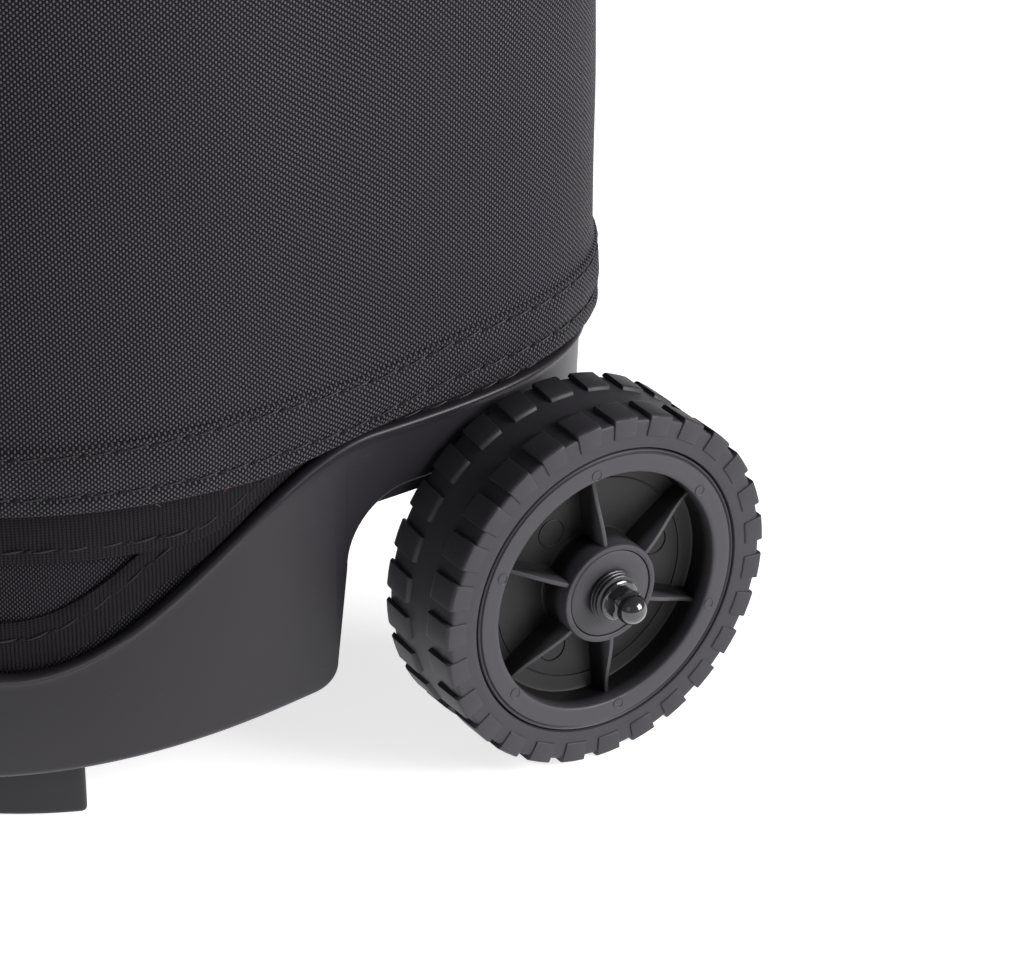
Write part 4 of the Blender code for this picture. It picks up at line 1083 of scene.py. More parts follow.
@dataclass
class Cover(Assembly):
    """The stretched nylon cover with its turned hem and openings."""

    step: float = 0.0055
    thickness: float = 0.0012

    def openings(self) -> list[tuple[float, float, float, float]]:
        """The holes, each (first run, last run, low, high).

        Returns:
            The holes in the cover.
        """
        found = []
        low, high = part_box("front_bezel")
        side = PLAN.run_at_width(high.x + 0.0005)
        found.append((-side, side, low.z - 0.0005, high.z + 0.0005))
        low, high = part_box("control_housing")
        front, rear = (PLAN.run_at_depth(y, side=-1) for y in (low.y - 0.0005, high.y + 0.0005))
        found.append((rear - PLAN.length, front - PLAN.length, low.z - 0.0005, high.z + 0.0005))
        low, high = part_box("handle_tray")
        right = PLAN.run_at_width(high.x + 0.0006, rear=True)
        left = PLAN.length - right
        found.append((right, left, low.z - 0.0006, COVER_HIGH.z + 0.001))
        return found

    def build(self) -> None:
        """Makes the cover and its stitches."""
        holes = self.openings()
        start = -PLAN.length / 2 + 0.0001
        marks = [hole[k] for hole in holes for k in (0, 1)]
        marks += [mark - PLAN.length for mark in marks if mark > PLAN.length / 2]
        runs = even_runs(-PLAN.length / 2, PLAN.length / 2, self.step, marks)
        y = PLAN.depth_at(runs)
        hem, low, high = Heights.hem(y), Heights.low_stitch(y), Heights.high_stitch(y)
        wave = 0.00035 * np.sin(runs * 151.0) + 0.00025 * np.sin(runs * 337.0 + 1.3)
        rows = [(hem + 0.026, -0.0044), (hem + 0.010, -0.0044), (hem + 0.0020, -0.0042),
                (hem + 0.0006, -0.0034), (hem, -0.0018), (hem + 0.0003, -0.0004), (hem + 0.0013, 0.0006),
                (hem + 0.0035, 0.0011 + wave)]
        for share in (0.45, 0.8):
            rows.append((hem + 0.0035 + (low - hem - 0.0048) * share, 0.0012 + wave))
        rows += [(low - 0.0012, 0.0008), (low, 0.0003), (low + 0.0012, 0.0008)]
        for share in (0.15, 0.35, 0.5, 0.65, 0.85):
            lift = 0.0009 + 0.0007 * math.sin(math.pi * share)
            rows.append((low + 0.0012 + (high - low - 0.0024) * share, lift + wave))
        rows += [(high - 0.0012, 0.0008), (high, 0.0003), (high + 0.0012, 0.0008), (high + 0.0024, 0.0009),
                 (high + 0.0031, 0.0004), (high + 0.0034, -0.0003), (high + 0.0050, -0.0006)]
        top = COVER_HIGH.z
        marks_up = sorted({hole[k] for hole in holes for k in (2, 3)})
        levels = [z for z in even_runs(0.190, top - 0.004, 0.0080, marks_up)]
        for z in levels:
            calm = smooth(z, 0.19, 0.26) * (1 - smooth(z, top - 0.05, top - 0.01))
            sway = np.sin(runs * 21.0 + z * 9.0) * np.sin(z * 13.0 + 0.7)
            sway = sway + 0.5 * np.sin(runs * 47.0 - z * 31.0)
            near = np.ones_like(runs)
            for first, last, bottom, upper in holes:
                for turn in (-PLAN.length, 0.0, PLAN.length):
                    reach = np.maximum(np.maximum(first + turn - runs, runs - last - turn), 0)
                    reach = np.hypot(reach, max(bottom - z, z - upper, 0))
                    near = np.minimum(near, smooth(reach, 0.002, 0.035))
            rows.append((np.full_like(runs, z), -0.0005 + 0.0009 * sway * calm * near - 0.0006 * near))
        rows += [(np.full_like(runs, top - z), proud) for z, proud in
                 ((0.0022, -0.0006), (0.0009, -0.0012), (0.0002, -0.0024), (0.0, -0.0045))]
        heights = np.array([np.broadcast_to(row[0], runs.shape) for row in rows])
        girth = np.vstack((np.zeros_like(runs), np.cumsum(np.abs(np.diff(heights, axis=0)) + 2e-5, axis=0)))
        points = np.array([PLAN.at(runs, height, proud) for height, proud in rows])
        cloth = np.stack((np.broadcast_to(runs, girth.shape), girth), -1)
        middle_run = (runs[:-1] + runs[1:]) / 2
        middle_up = (heights[:-1] + heights[1:])[:, :-1] / 2
        keep = np.ones((len(rows) - 1, len(runs) - 1), bool)
        for first, last, bottom, upper in holes:
            for turn in (-PLAN.length, 0.0, PLAN.length):
                inside = (middle_run > first + turn) & (middle_run < last + turn)
                keep &= ~(inside[None, :] & (middle_up > bottom) & (middle_up < upper))
        skin = Skin().grid(points, cloth, keep=keep)
        cover = skin.build("cloth_cover", NYLON, self.body, sharp=60, outward=False)
        thick = cover.modifiers.new("cloth", "SOLIDIFY")
        thick.thickness = self.thickness
        thick.offset = -1
        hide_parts("bag_cover")
        span, fall = PLAN.length, top - float(Heights.hem(0)) + 0.035
        cut = sum((last - first) * (min(upper, top) - bottom) for first, last, bottom, upper in holes)
        span * fall - cut
        for name, level in (("hem_low", Heights.low_stitch), ("hem_high", Heights.high_stitch)):
            stitch_row(name, lambda run, level=level: level(PLAN.depth_at(run)), 0.0007,
                       (start + 0.004, start + PLAN.length - 0.006), 0.013, self.body)


@dataclass
class Lining(Assembly):
    """The inner panel that shows between the cover and the tub, with a tape on each edge."""

    def build(self) -> None:
        """Makes the panel, the tapes and their stitches."""
        high_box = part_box("inner_liner")[1]
        runs = even_runs(-PLAN.length / 2, PLAN.length / 2, 0.006)
        y = PLAN.depth_at(runs)
        lip = Heights.lip(y)
        rows = []
        for share in np.linspace(0, 1, 22):
            height = (lip - 0.030) + (high_box.z - lip + 0.030) * share
            ripple = 0.0005 * np.sin(runs * 90.0 + share * 7.0) * math.sin(math.pi * share)
            rows.append((height, -0.0104 + ripple))
        heights = np.array([row[0] for row in rows])
        points = np.array([PLAN.at(runs, height, proud) for height, proud in rows])
        cloth = np.stack((np.broadcast_to(runs, heights.shape), heights), -1)
        panel = Skin().grid(points, cloth).build("inner_panel", LINING, self.body, sharp=60, outward=False)
        thick = panel.modifiers.new("cloth", "SOLIDIFY")
        thick.thickness = 0.0008
        thick.offset = -1
        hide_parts("inner_liner")
        high = self.tape("hem_tape", Heights.high_tape, 0.036, -0.0086, -0.0074)
        low = self.tape("lip_tape", Heights.low_tape, 0.0211, -0.0098, -0.0086)
        start = -PLAN.length / 2
        stitch_row("hem_tape_row", lambda run: Heights.high_tape(PLAN.depth_at(run)) + 0.0055, -0.0073,
                   (start + 0.007, -start - 0.005), 0.013, self.body)
        stitch_row("lip_tape_row", self.low_row, -0.0085, (start + 0.002, -start - 0.01), 0.013, self.body)

    @staticmethod
    def low_row(run: np.ndarray) -> np.ndarray:
        """The height of the lip tape's stitches."""
        y = PLAN.depth_at(run)
        return Heights.low_tape(y) + 0.0133 + 0.0030 * smooth(y, -0.05, 0.02)

    def tape(self, name: str, level: Callable, width: float, inner: float, outer: float) -> bpy.types.Object:
        """One tape, a thin closed band.

        Args:
            name: the tape's name.
            level: the height of its lower edge at a depth.
            width: its width.
            inner: how proud its back is.
            outer: how proud its face is.

        Returns:
            The tape.
        """
        runs = even_runs(-PLAN.length / 2, PLAN.length / 2, 0.005)
        soft = 0.00035

        def section(at: np.ndarray) -> list[tuple]:
            """The tape's outline at each run, as (height, proud) pairs."""
            low = level(PLAN.depth_at(at))
            wave = 0.0003 * np.sin(at * 120.0)
            steps = [(0.0, inner + soft), (0.0, outer - soft), (soft, outer)]
            steps += [(width * share, outer) for share in (0.25, 0.5, 0.75)]
            steps += [(width - soft, outer), (width, outer - soft)]
            steps += [(width, inner + soft), (width - soft, inner)]
            steps += [(width * share, inner) for share in (0.75, 0.5, 0.25)] + [(soft, inner)]
            return [(low + rise, proud + wave * (0 < rise < width)) for rise, proud in steps]

        return ribbon(runs, section, around=True).build(name, GROSGRAIN, self.body, sharp=60, outward=True)


@dataclass
class StrayFibres(Assembly):
    """Short ends of fibre caught along the hem."""

    def build(self) -> None:
        """Makes a few curled ends."""
        skin = Skin()
        turns = np.linspace(0, TAU, 6)[:-1]
        for index, y in enumerate((-0.058, -0.041, -0.030, -0.022)):
            run = PLAN.run_at_depth(y)
            length = 0.0016 + 0.0005 * index
            share = np.linspace(0, 1, 6)
            along = run + length * share * math.cos(index * 1.7)
            height = Heights.hem(y) + 0.0006 - length * 0.6 * share ** 2 + 0.0004 * index
            lift = 0.0006 + 0.0008 * np.sin(share * 2.4)
            width = 0.00011 * (1 - 0.5 * share)
            skin.grid(np.array([PLAN.at(along, height + width * math.sin(a), lift + width * math.cos(a))
                                for a in turns]), closed=True)
        skin.build("stray_fibres", STRAY, self.body, outward=False)


# The wheels


@dataclass
class Wheel(Assembly):
    """One wheel: tyre with lugs, rim with spokes, bush, washers and cap nut."""

    side: int = 1
    teeth: int = 27
    spokes: int = 6
    phase: float = math.radians(34.4)
    radius: float = 0.075
    label: str = field(init=False, default="")

    def __post_init__(self) -> None:
        """Takes the wheel's place from its tyre."""
        self.label = "right" if self.side > 0 else "left"
        self.body = f"wheel_{self.label}"
        low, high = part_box(f"tyre_{self.label}")
        self.centre = (low + high) / 2
        self.inner, self.outer = (low.x, high.x) if self.side > 0 else (-high.x, -low.x)

    def at(self, x: np.ndarray, radius: np.ndarray, turn: np.ndarray) -> np.ndarray:
        """Points at a distance out from the machine's middle, a radius and an angle from +Y to +Z.

        Args:
            x: the distance out, on the wheel's own side.
            radius: from the axle.
            turn: the angle.

        Returns:
            The points, as an array whose last axis is x, y, z.
        """
        x, radius, turn = np.broadcast_arrays(x, radius, turn)
        return np.stack((self.side * x, self.centre.y + radius * np.cos(turn),
                         self.centre.z + radius * np.sin(turn)), -1)

    def lathe(self, profile: Sequence[tuple[float, float]], steps: int = 144, closed: bool = False,
              skin: Skin | None = None) -> Skin:
        """A profile of (x, radius) turned round the axle.

        Args:
            profile: its points.
            steps: how many facets it has.
            closed: joins the last point to the first.
            skin: what it is added to, or a new one.

        Returns:
            The skin.
        """
        turns = np.linspace(0, TAU, steps + 1)[:-1]
        rows = np.array([self.at(x, max(r, 0.00001), turns) for x, r in profile])
        return (skin or Skin()).grid(rows, around=True, closed=closed)

    def lug(self, skin: Skin, section: Sequence[tuple[float, float]], first: float, last: float,
            ease: float = 0.006, lean: float = 0.0) -> None:
        """A block that stands on the tyre, rounded at both ends.

        Args:
            skin: where it is added.
            section: its closed section of (x, radius).
            first: the angle where it starts.
            last: the angle where it ends.
            ease: the angle over which its ends round off.
            lean: how far its inner side leans round, in radians.
        """
        points = np.array(section)
        middle = points.mean(0)
        spread = points[:, 0] - points[:, 0].min()
        shares = [(0.0, 0.955), (0.3, 0.985), (1.0, 1.0)]
        stops = [(first + ease * a, s) for a, s in shares]
        stops += [((first + last) / 2, 1.0)]
        stops += [(last - ease * a, s) for a, s in shares[::-1]]
        rows = []
        for turn, share in stops:
            shrunk = middle + (points - middle) * np.array([share, 1 - (1 - share) * 0.9])
            rows.append(self.at(shrunk[:, 0], shrunk[:, 1], turn + lean * spread / 0.017))
        skin.grid(np.array(rows), around=True)
        skin.polygon(rows[0], flip=True).polygon(rows[-1])

    def build(self) -> None:
        """Makes the wheel and its fasteners."""
        self.tyre()
        self.rim()
        self.bush()
        self.fasteners()

    def tyre(self) -> None:
        """The tyre's carcass and its two rows of lugs."""
        inner, outer, top = self.inner, self.outer, self.radius
        base = top - 0.0019
        profile = [(inner + 0.0004, 0.0606), (inner, 0.0625), (inner, base - 0.0030),
                   (inner + 0.0010, base - 0.0007), (inner + 0.0026, base)]
        profile += [(x, base + 0.0003 * math.sin(k)) for k, x in
                    enumerate(np.linspace(inner + 0.006, outer - 0.006, 8))]
        profile += [(outer - 0.0030, base), (outer - 0.0011, base), (outer - 0.0004, base - 0.0003),
                    (outer - 0.0001, base - 0.0009), (outer, base - 0.0016), (outer, base - 0.0030),
                    (outer, 0.0640), (outer, 0.0618), (outer - 0.0001, 0.0614), (outer - 0.0006, 0.0611),
                    (outer - 0.0014, 0.0610), (outer - 0.0030, 0.0606)]
        skin = self.lathe(profile, steps=216, closed=True)
        pitch = TAU / self.teeth
        face = outer + 0.0006
        wrapped = [(outer - 0.0152, base - 0.0004), (outer - 0.0148, top - 0.0006),
                   (outer - 0.0142, top - 0.0001), (outer - 0.0130, top), (outer - 0.0030, top),
                   (outer - 0.0008, top), (outer - 0.0001, top - 0.0002), (face - 0.0001, top - 0.0007),
                   (face, top - 0.0014), (face, top - 0.0030), (face, 0.0668), (face - 0.0001, 0.0664),
                   (face - 0.0003, 0.0662), (outer - 0.0006, 0.0660), (outer - 0.0030, 0.0690),
                   (outer - 0.0060, base - 0.0010)]
        inside = [(inner, base - 0.0004), (inner + 0.0001, top - 0.0018), (inner + 0.0009, top - 0.0005),
                  (inner + 0.0022, top), (inner + 0.0140, top), (inner + 0.0152, top - 0.0001),
                  (inner + 0.0158, top - 0.0006), (inner + 0.0162, base - 0.0004)]
        for index in range(self.teeth):
            start = index * pitch
            self.lug(skin, wrapped, start, start + pitch * 0.62)
            self.lug(skin, inside, start + pitch * 0.50, start + pitch * 1.12, lean=0.02)
        tyre = skin.build(f"tyre_tread_{self.label}", TREAD, self.body, sharp=42)
        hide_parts(f"tyre_{self.label}")

    def rim(self) -> None:
        """The rim with its recessed web, spokes, hub and mould marks."""
        face, web = self.outer, self.outer - 0.013
        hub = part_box(f"rim_{self.label}")[1].x if self.side > 0 else -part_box(f"rim_{self.label}")[0].x
        back = self.inner + 0.001
        profile = [(back, 0.0604), (face - 0.0030, 0.0604), (face - 0.0008, 0.0604), (face - 0.0003, 0.0602),
                   (face - 0.0001, 0.0599), (face - 0.0003, 0.0596), (face - 0.0007, 0.0594),
                   (face - 0.0009, 0.0591), (face - 0.0006, 0.0588), (face - 0.0001, 0.0586),
                   (face, 0.0580), (face, 0.0560),
                   (face, 0.0530), (face, 0.0516), (face - 0.0003, 0.0511), (face - 0.0008, 0.0508),
                   (face - 0.0020, 0.0506), (web + 0.0014, 0.0500), (web + 0.0004, 0.0496),
                   (web, 0.0486), (web, 0.0440), (web - 0.0001, 0.0433), (web + 0.0003, 0.0431),
                   (web + 0.0003, 0.0428), (web - 0.0001, 0.0426), (web, 0.0300), (web, 0.0225),
                   (web + 0.0006, 0.0219), (web + 0.0020, 0.0216), (hub - 0.0012, 0.0212),
                   (hub - 0.0005, 0.0211), (hub - 0.0001, 0.0208), (hub, 0.0203), (hub, 0.0190),
                   (hub - 0.0002, 0.0187),
                   (hub - 0.0010, 0.0186), (back, 0.0186)]
        skin = self.lathe(profile, steps=192, closed=True)
        for index in range(self.spokes):
            turn = self.phase + index * TAU / self.spokes
            self.spoke(skin, turn, hub, web)
            self.round_mark(skin, turn + 0.03, 0.0537, 0.0024, face, rise=0.00026)
        for turn in (12.0, 125.0, 237.0):
            self.round_mark(skin, math.radians(turn), 0.0315, 0.0060, web)
        rim = skin.build(f"rim_spoked_{self.label}", WHEEL_PLASTIC, self.body, sharp=40)
        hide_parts(f"rim_{self.label}")

    def spoke(self, skin: Skin, turn: float, hub: float, web: float) -> None:
        """One drafted spoke with a rounded crest, which falls away towards the ring.

        Args:
            skin: what it is added to.
            turn: its angle.
            hub: how far out the hub stands.
            web: how far out the web lies.
        """
        out = np.array([0.0, math.cos(turn), math.sin(turn)])
        across = np.array([0.0, -math.sin(turn), math.cos(turn)])
        centre = np.array(self.centre)
        rows = []
        for share in np.linspace(0, 1, 14):
            radius = 0.0196 + (0.0512 - 0.0196) * share
            crest = (hub - 0.0012) + ((self.outer - 0.0055) - (hub - 0.0012)) * smooth(share, 0.0, 1.0)
            half_top, half_base = 0.0011, 0.0019
            section = [(web - 0.0010, -half_base - 0.0008), (web + 0.0007, -half_base),
                       (crest - 0.0008, -half_top), (crest - 0.0002, -half_top * 0.7), (crest, 0.0),
                       (crest - 0.0002, half_top * 0.7), (crest - 0.0008, half_top),
                       (web + 0.0007, half_base), (web - 0.0010, half_base + 0.0008)]
            row = []
            for x, aside in section:
                point = centre + out * radius + across * aside
                point[0] = self.side * x
                row.append(point)
            rows.append(row)
        rows = np.array(rows)
        skin.grid(rows, around=True)
        skin.polygon(rows[0], flip=True).polygon(rows[-1])

    def round_mark(self, skin: Skin, turn: float, radius: float, size: float, level: float,
                   rise: float = 0.0004) -> None:
        """A round ejector mark: a shallow raised ring round a flat.

        Args:
            skin: where it is added.
            turn: its angle round the axle.
            radius: its distance from the axle.
            size: its own radius.
            level: the surface that it lies on.
            rise: how far its ring stands out.
        """
        centre = self.at(0.0, radius, turn)
        out = np.array([0, math.cos(turn), math.sin(turn)])
        across = np.array([0, -math.sin(turn), math.cos(turn)])
        angles = np.linspace(0, TAU, 29)[:-1]
        rows = []
        for distance, height in ((size, -rise), (size - 0.0001, rise * 0.8), (size - 0.0003, rise),
                                 (size - 0.0005, rise * 0.5), (size - 0.0006, -rise)):
            ring = centre + distance * (np.cos(angles)[:, None] * out + np.sin(angles)[:, None] * across)
            ring[:, 0] = self.side * (level + height)
            rows.append(ring)
        skin.grid(np.array(rows), around=True)

    def bush(self) -> None:
        """The flanged bush in the hub."""
        low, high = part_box(f"hub_bush_{self.label}")
        inner, face = (low.x, high.x) if self.side > 0 else (-high.x, -low.x)
        profile = [(inner, 0.0041), (face - 0.0003, 0.0041), (face, 0.0045), (face, 0.0120), (face, 0.0178),
                   (face - 0.0002, 0.0182), (face - 0.0010, 0.0183), (face - 0.0060, 0.0183),
                   (face - 0.0062, 0.0120), (inner, 0.0120)]
        skin = self.lathe(profile, steps=96, closed=True)
        bush = skin.build(f"bush_{self.label}", WHEEL_PLASTIC, self.body)
        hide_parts(f"hub_bush_{self.label}")

    def fasteners(self) -> None:
        """The stack of washers and the acorn nut, which don't turn with the wheel."""
        low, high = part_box(f"washer_{self.label}")
        first, last = (low.x, high.x) if self.side > 0 else (-high.x, -low.x)
        each = (last - first) / 3
        skin = Skin()
        for index, radius in enumerate((0.0105, 0.0103, 0.0099)):
            a, b = first + index * each + 0.00012, first + (index + 1) * each - 0.00012
            self.lathe([(a, 0.0042), (a, radius - 0.0004), (a + 0.0003, radius), (b - 0.0003, radius),
                        (b, radius - 0.0004), (b, 0.0042)], steps=72, closed=True, skin=skin)
        washers = skin.build(f"washer_stack_{self.label}", BLACK_STEEL, "base")
        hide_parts(f"washer_{self.label}")
        self.nut()

    def nut(self) -> None:
        """A flanged acorn nut: hexagon with rounded corners, collar and polished dome."""
        low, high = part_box(f"cap_nut_{self.label}")
        first, tip = (low.x, high.x) if self.side > 0 else (-high.x, -low.x)
        dome, flats = 0.00625, 0.0065
        turns = np.linspace(0, TAU, 97)[:-1]
        wedge = np.mod(turns + math.pi / 6 + 0.12, math.pi / 3) - math.pi / 6
        hexagon = np.minimum(flats / np.cos(wedge), 0.00735)
        flange = [(0.0, 0.0042), (0.0, 0.0080), (0.0002, 0.0084), (0.0009, 0.0084), (0.0013, 0.0079)]
        flanks = [(0.0015, 0.0071), (0.0021, 0.0074), (0.0052, 0.0074), (0.0059, 0.0070), (0.0065, 0.0064)]
        neck = [(0.0068, 0.0061), (0.0073, 0.0058), (0.0078, dome)]
        rows = [self.at(first + along, np.full_like(turns, radius), turns) for along, radius in flange]
        rows += [self.at(first + along, np.minimum(hexagon, radius), turns) for along, radius in flanks]
        rows += [self.at(first + along, np.full_like(turns, radius), turns) for along, radius in neck]
        start = tip - dome
        for lean in np.radians(np.linspace(0, 90, 13)):
            rows.append(self.at(start + dome * math.sin(lean),
                                np.full_like(turns, max(dome * math.cos(lean), 0.00002)), turns))
        skin = Skin().grid(np.array(rows), around=True).polygon(rows[0], flip=True).polygon(rows[-1])
        nut = skin.build(f"acorn_nut_{self.label}", GLOSS_BLACK, "base", sharp=28)
        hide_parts(f"cap_nut_{self.label}")


# The top


@dataclass
class Lid(Assembly):
    """The padded fabric lid: a cloth cushion with a piped edge and a pull tab."""

    body: str = "lid"
    voxel: float = 0.006
    frames: int = 18
    piped: float = 0.0021
    SEAMS: ClassVar[dict[str, float]] = {"low": 0.16, "high": 0.86}

    def build(self) -> None:
        """Inflates a copy of the lid's solid as cloth, then adds the piping and the tab."""
        source = frame["nodes"]["lid"]
        mesh = source.data.copy()
        pad = bpy.data.objects.new("lid_pad", mesh)
        bpy.context.scene.collection.objects.link(pad)
        remesh = pad.modifiers.new("even", "REMESH")
        remesh.mode = "VOXEL"
        remesh.voxel_size = self.voxel
        self.apply(pad)
        self.inflate(pad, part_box("lid"))
        pad.data.shade_smooth()
        self.lay_cloth(pad)
        dress(pad, NYLON, self.body)
        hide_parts("lid")
        self.piping()
        self.tab()

    @staticmethod
    def apply(piece: bpy.types.Object) -> None:
        """Turns the evaluated shape into the piece's own mesh.

        Args:
            piece: the piece with modifiers.
        """
        graph = bpy.context.evaluated_depsgraph_get()
        made = bpy.data.meshes.new_from_object(piece.evaluated_get(graph))
        piece.modifiers.clear()
        piece.data = made

    def inflate(self, pad: bpy.types.Object, limits: tuple[Vector, Vector]) -> None:
        """Runs the cloth a few frames with a little pressure and no gravity.

        Args:
            pad: the remeshed lid.
            limits: the box that it stays inside.
        """
        low, _ = limits
        rest = np.array([v.co for v in pad.data.vertices])
        seams = np.concatenate([self.seam(share)[0] for share in self.SEAMS.values()])
        tree = KDTree(len(seams))
        for index, place in enumerate(seams):
            tree.insert(place, index)
        tree.balance()
        held = pad.vertex_groups.new(name="held")
        rim = [i for i, place in enumerate(rest)
               if place[2] < low.z + 0.002 or tree.find(place)[2] < self.voxel]
        held.add(rim, 1.0, "REPLACE")
        cloth = pad.modifiers.new("cloth", "CLOTH")
        cloth.settings.use_pressure = True
        cloth.settings.uniform_pressure_force = 4.0
        cloth.settings.effector_weights.gravity = 0.0
        cloth.settings.vertex_group_mass = "held"
        cloth.settings.quality = 5
        cloth.point_cache.frame_start = 1
        cloth.point_cache.frame_end = self.frames
        for number in range(1, self.frames + 1):
            bpy.context.scene.frame_set(number)
        self.apply(pad)
        bpy.context.scene.frame_set(1)
        shape = np.array([v.co for v in pad.data.vertices])
        moved = shape - rest
        size = np.linalg.norm(moved, axis=1)
        cap = 0.007
        shape = rest + moved * np.minimum(1, cap / np.maximum(size, 1e-9))[:, None]
        shape[:, 2] = np.maximum(shape[:, 2], low.z - 0.0004)
        pad.data.vertices.foreach_set("co", shape.astype(np.float32).ravel())
        pad.data.update()
        LOG.info("lid cushion rose %.1f mm at most", size.max() / MM)

    @staticmethod
    def lay_cloth(pad: bpy.types.Object) -> None:
        """Gives the cushion cloth coordinates, from above on its faces and along it on its edges.

        Args:
            pad: the cushion.
        """
        layer = pad.data.uv_layers.get(Skin.CLOTH) or pad.data.uv_layers.new(name=Skin.CLOTH)
        for face in pad.data.polygons:
            level = abs(face.normal.z) > 0.5
            aside = abs(face.normal.x) > abs(face.normal.y)
            for corner in face.loop_indices:
                x, y, z = pad.data.vertices[pad.data.loops[corner].vertex_index].co
                layer.data[corner].uv = (x, y) if level else ((y, z) if aside else (x, z))

    def outline(self, inset: float) -> np.ndarray:
        """The lid's outline from above, cut straight at the rear.

        Args:
            inset: how far inside the cover's outline.

        Returns:
            Its points, as x and y.
        """
        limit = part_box("lid")[1].y
        points = PLAN.at(np.linspace(0, PLAN.length, 401)[:-1], 0.0, -inset)[:, :2]
        points[:, 1] = np.minimum(points[:, 1], limit - inset * 0.5)
        return points

    def seam(self, share: float) -> tuple[np.ndarray, np.ndarray]:
        """A seam that runs round the cushion.

        Args:
            share: how far up the cushion's edge it runs.

        Returns:
            Its points, and the level direction out of the cushion at each.
        """
        low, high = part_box("lid")
        points = self.outline(0.0026)
        slope = smooth(high.y - points[:, 1], 0.0, 0.045)
        thick = 0.012 + (high.z - low.z - 0.012) * slope
        ahead = np.roll(points, -1, 0) - np.roll(points, 1, 0)
        ahead /= np.linalg.norm(ahead, axis=1)[:, None]
        out = np.stack((ahead[:, 1], -ahead[:, 0]), -1)
        return np.column_stack((points, low.z + thick * share)), out

    def piping(self) -> None:
        """Two piped edges that run round the cushion."""
        turns = np.linspace(0, TAU, 9)[:-1]
        for name, share in self.SEAMS.items():
            points, out = self.seam(share)
            rings = []
            for a in turns:
                aside = points[:, :2] + out * self.piped * math.cos(a)
                rings.append(np.column_stack((aside, points[:, 2] + self.piped * math.sin(a))))
            skin = Skin().grid(np.array(rings), around=True, closed=True)
            skin.build(f"lid_piping_{name}", GROSGRAIN, self.body)

    def tab(self) -> None:
        """The folded webbing tab that lifts the lid at the front."""
        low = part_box("lid")[0]
        width, out = 0.0125, 0.004
        line = [(low.y + y, low.z + z) for y, z in
                ((0.006, 0.010), (-0.0005, 0.0095), (-out, 0.006), (-out - 0.001, -0.004), (-out, -0.014),
                 (-out + 0.0016, -0.0155), (-out + 0.0024, -0.013), (-0.0012, -0.002), (0.004, 0.006))]
        rows = np.array([[(x, y, z) for x in np.linspace(-width, width, 7)] for y, z in line])
        cloth = np.stack(np.meshgrid(np.linspace(0, 2 * width, 7), np.linspace(0, 0.06, len(line))), -1)
        tab = Skin().grid(rows, cloth).build("lid_pull_tab", GROSGRAIN, self.body, sharp=80, outward=False)
        thick = tab.modifiers.new("webbing", "SOLIDIFY")
        thick.thickness = 0.0011


@dataclass
class TopRing(Assembly):
    """Screws that hold the top frame down, beside the handle's tray."""

    def build(self) -> None:
        """Makes the screw heads."""
        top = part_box("top_frame")[1].z
        for index, (x, y) in enumerate(((-0.153, 0.152), (0.153, 0.152))):
            screw(f"top_screw_{index}", Vector((x, y, top)), Vector((0, 0, 1)), 0.0035, self.body)


def frame_of(normal: Vector) -> Matrix:
    """A turn that takes +Z to the normal."""
    return normal.to_track_quat("Z", "Y").to_matrix()


def screw(name: str, place: Vector, normal: Vector, radius: float, body: str,
          finish: Finish | None = None) -> bpy.types.Object:
    """A pan-head screw with a cross recess.

    Args:
        name: the screw's name.
        place: the middle of its seat.
        normal: the way it faces.
        radius: of its head.
        body: what it rides on.
        finish: its surface, black steel unless told otherwise.

    Returns:
        The screw.
    """
    turn = frame_of(normal)
    turns = np.linspace(0, TAU, 49)[:-1]
    cross = np.minimum(np.abs(np.sin(2 * turns)), 1)
    rows = []
    for share, rise in ((1.0, -0.0003), (1.0, 0.00055), (0.93, 0.0010), (0.75, 0.0014), (0.60, 0.00155)):
        rows.append(np.column_stack((radius * share * np.cos(turns), radius * share * np.sin(turns),
                                     np.full_like(turns, rise))))
    arm = 0.16 + 0.40 * np.clip(1 - cross * 2.2, 0, 1)
    for scale, rise in ((1.0, 0.00150), (0.94, 0.0008), (0.5, 0.0006), (0.001, 0.0006)):
        reach = radius * arm * scale
        rows.append(np.column_stack((reach * np.cos(turns), reach * np.sin(turns),
                                     np.full_like(turns, rise))))
    placed = [np.array([turn @ Vector(p) + place for p in row]) for row in rows]
    return Skin().grid(np.array(placed), around=True).build(name, finish or BLACK_STEEL, body, outward=False)


# The front, the handle and the controls


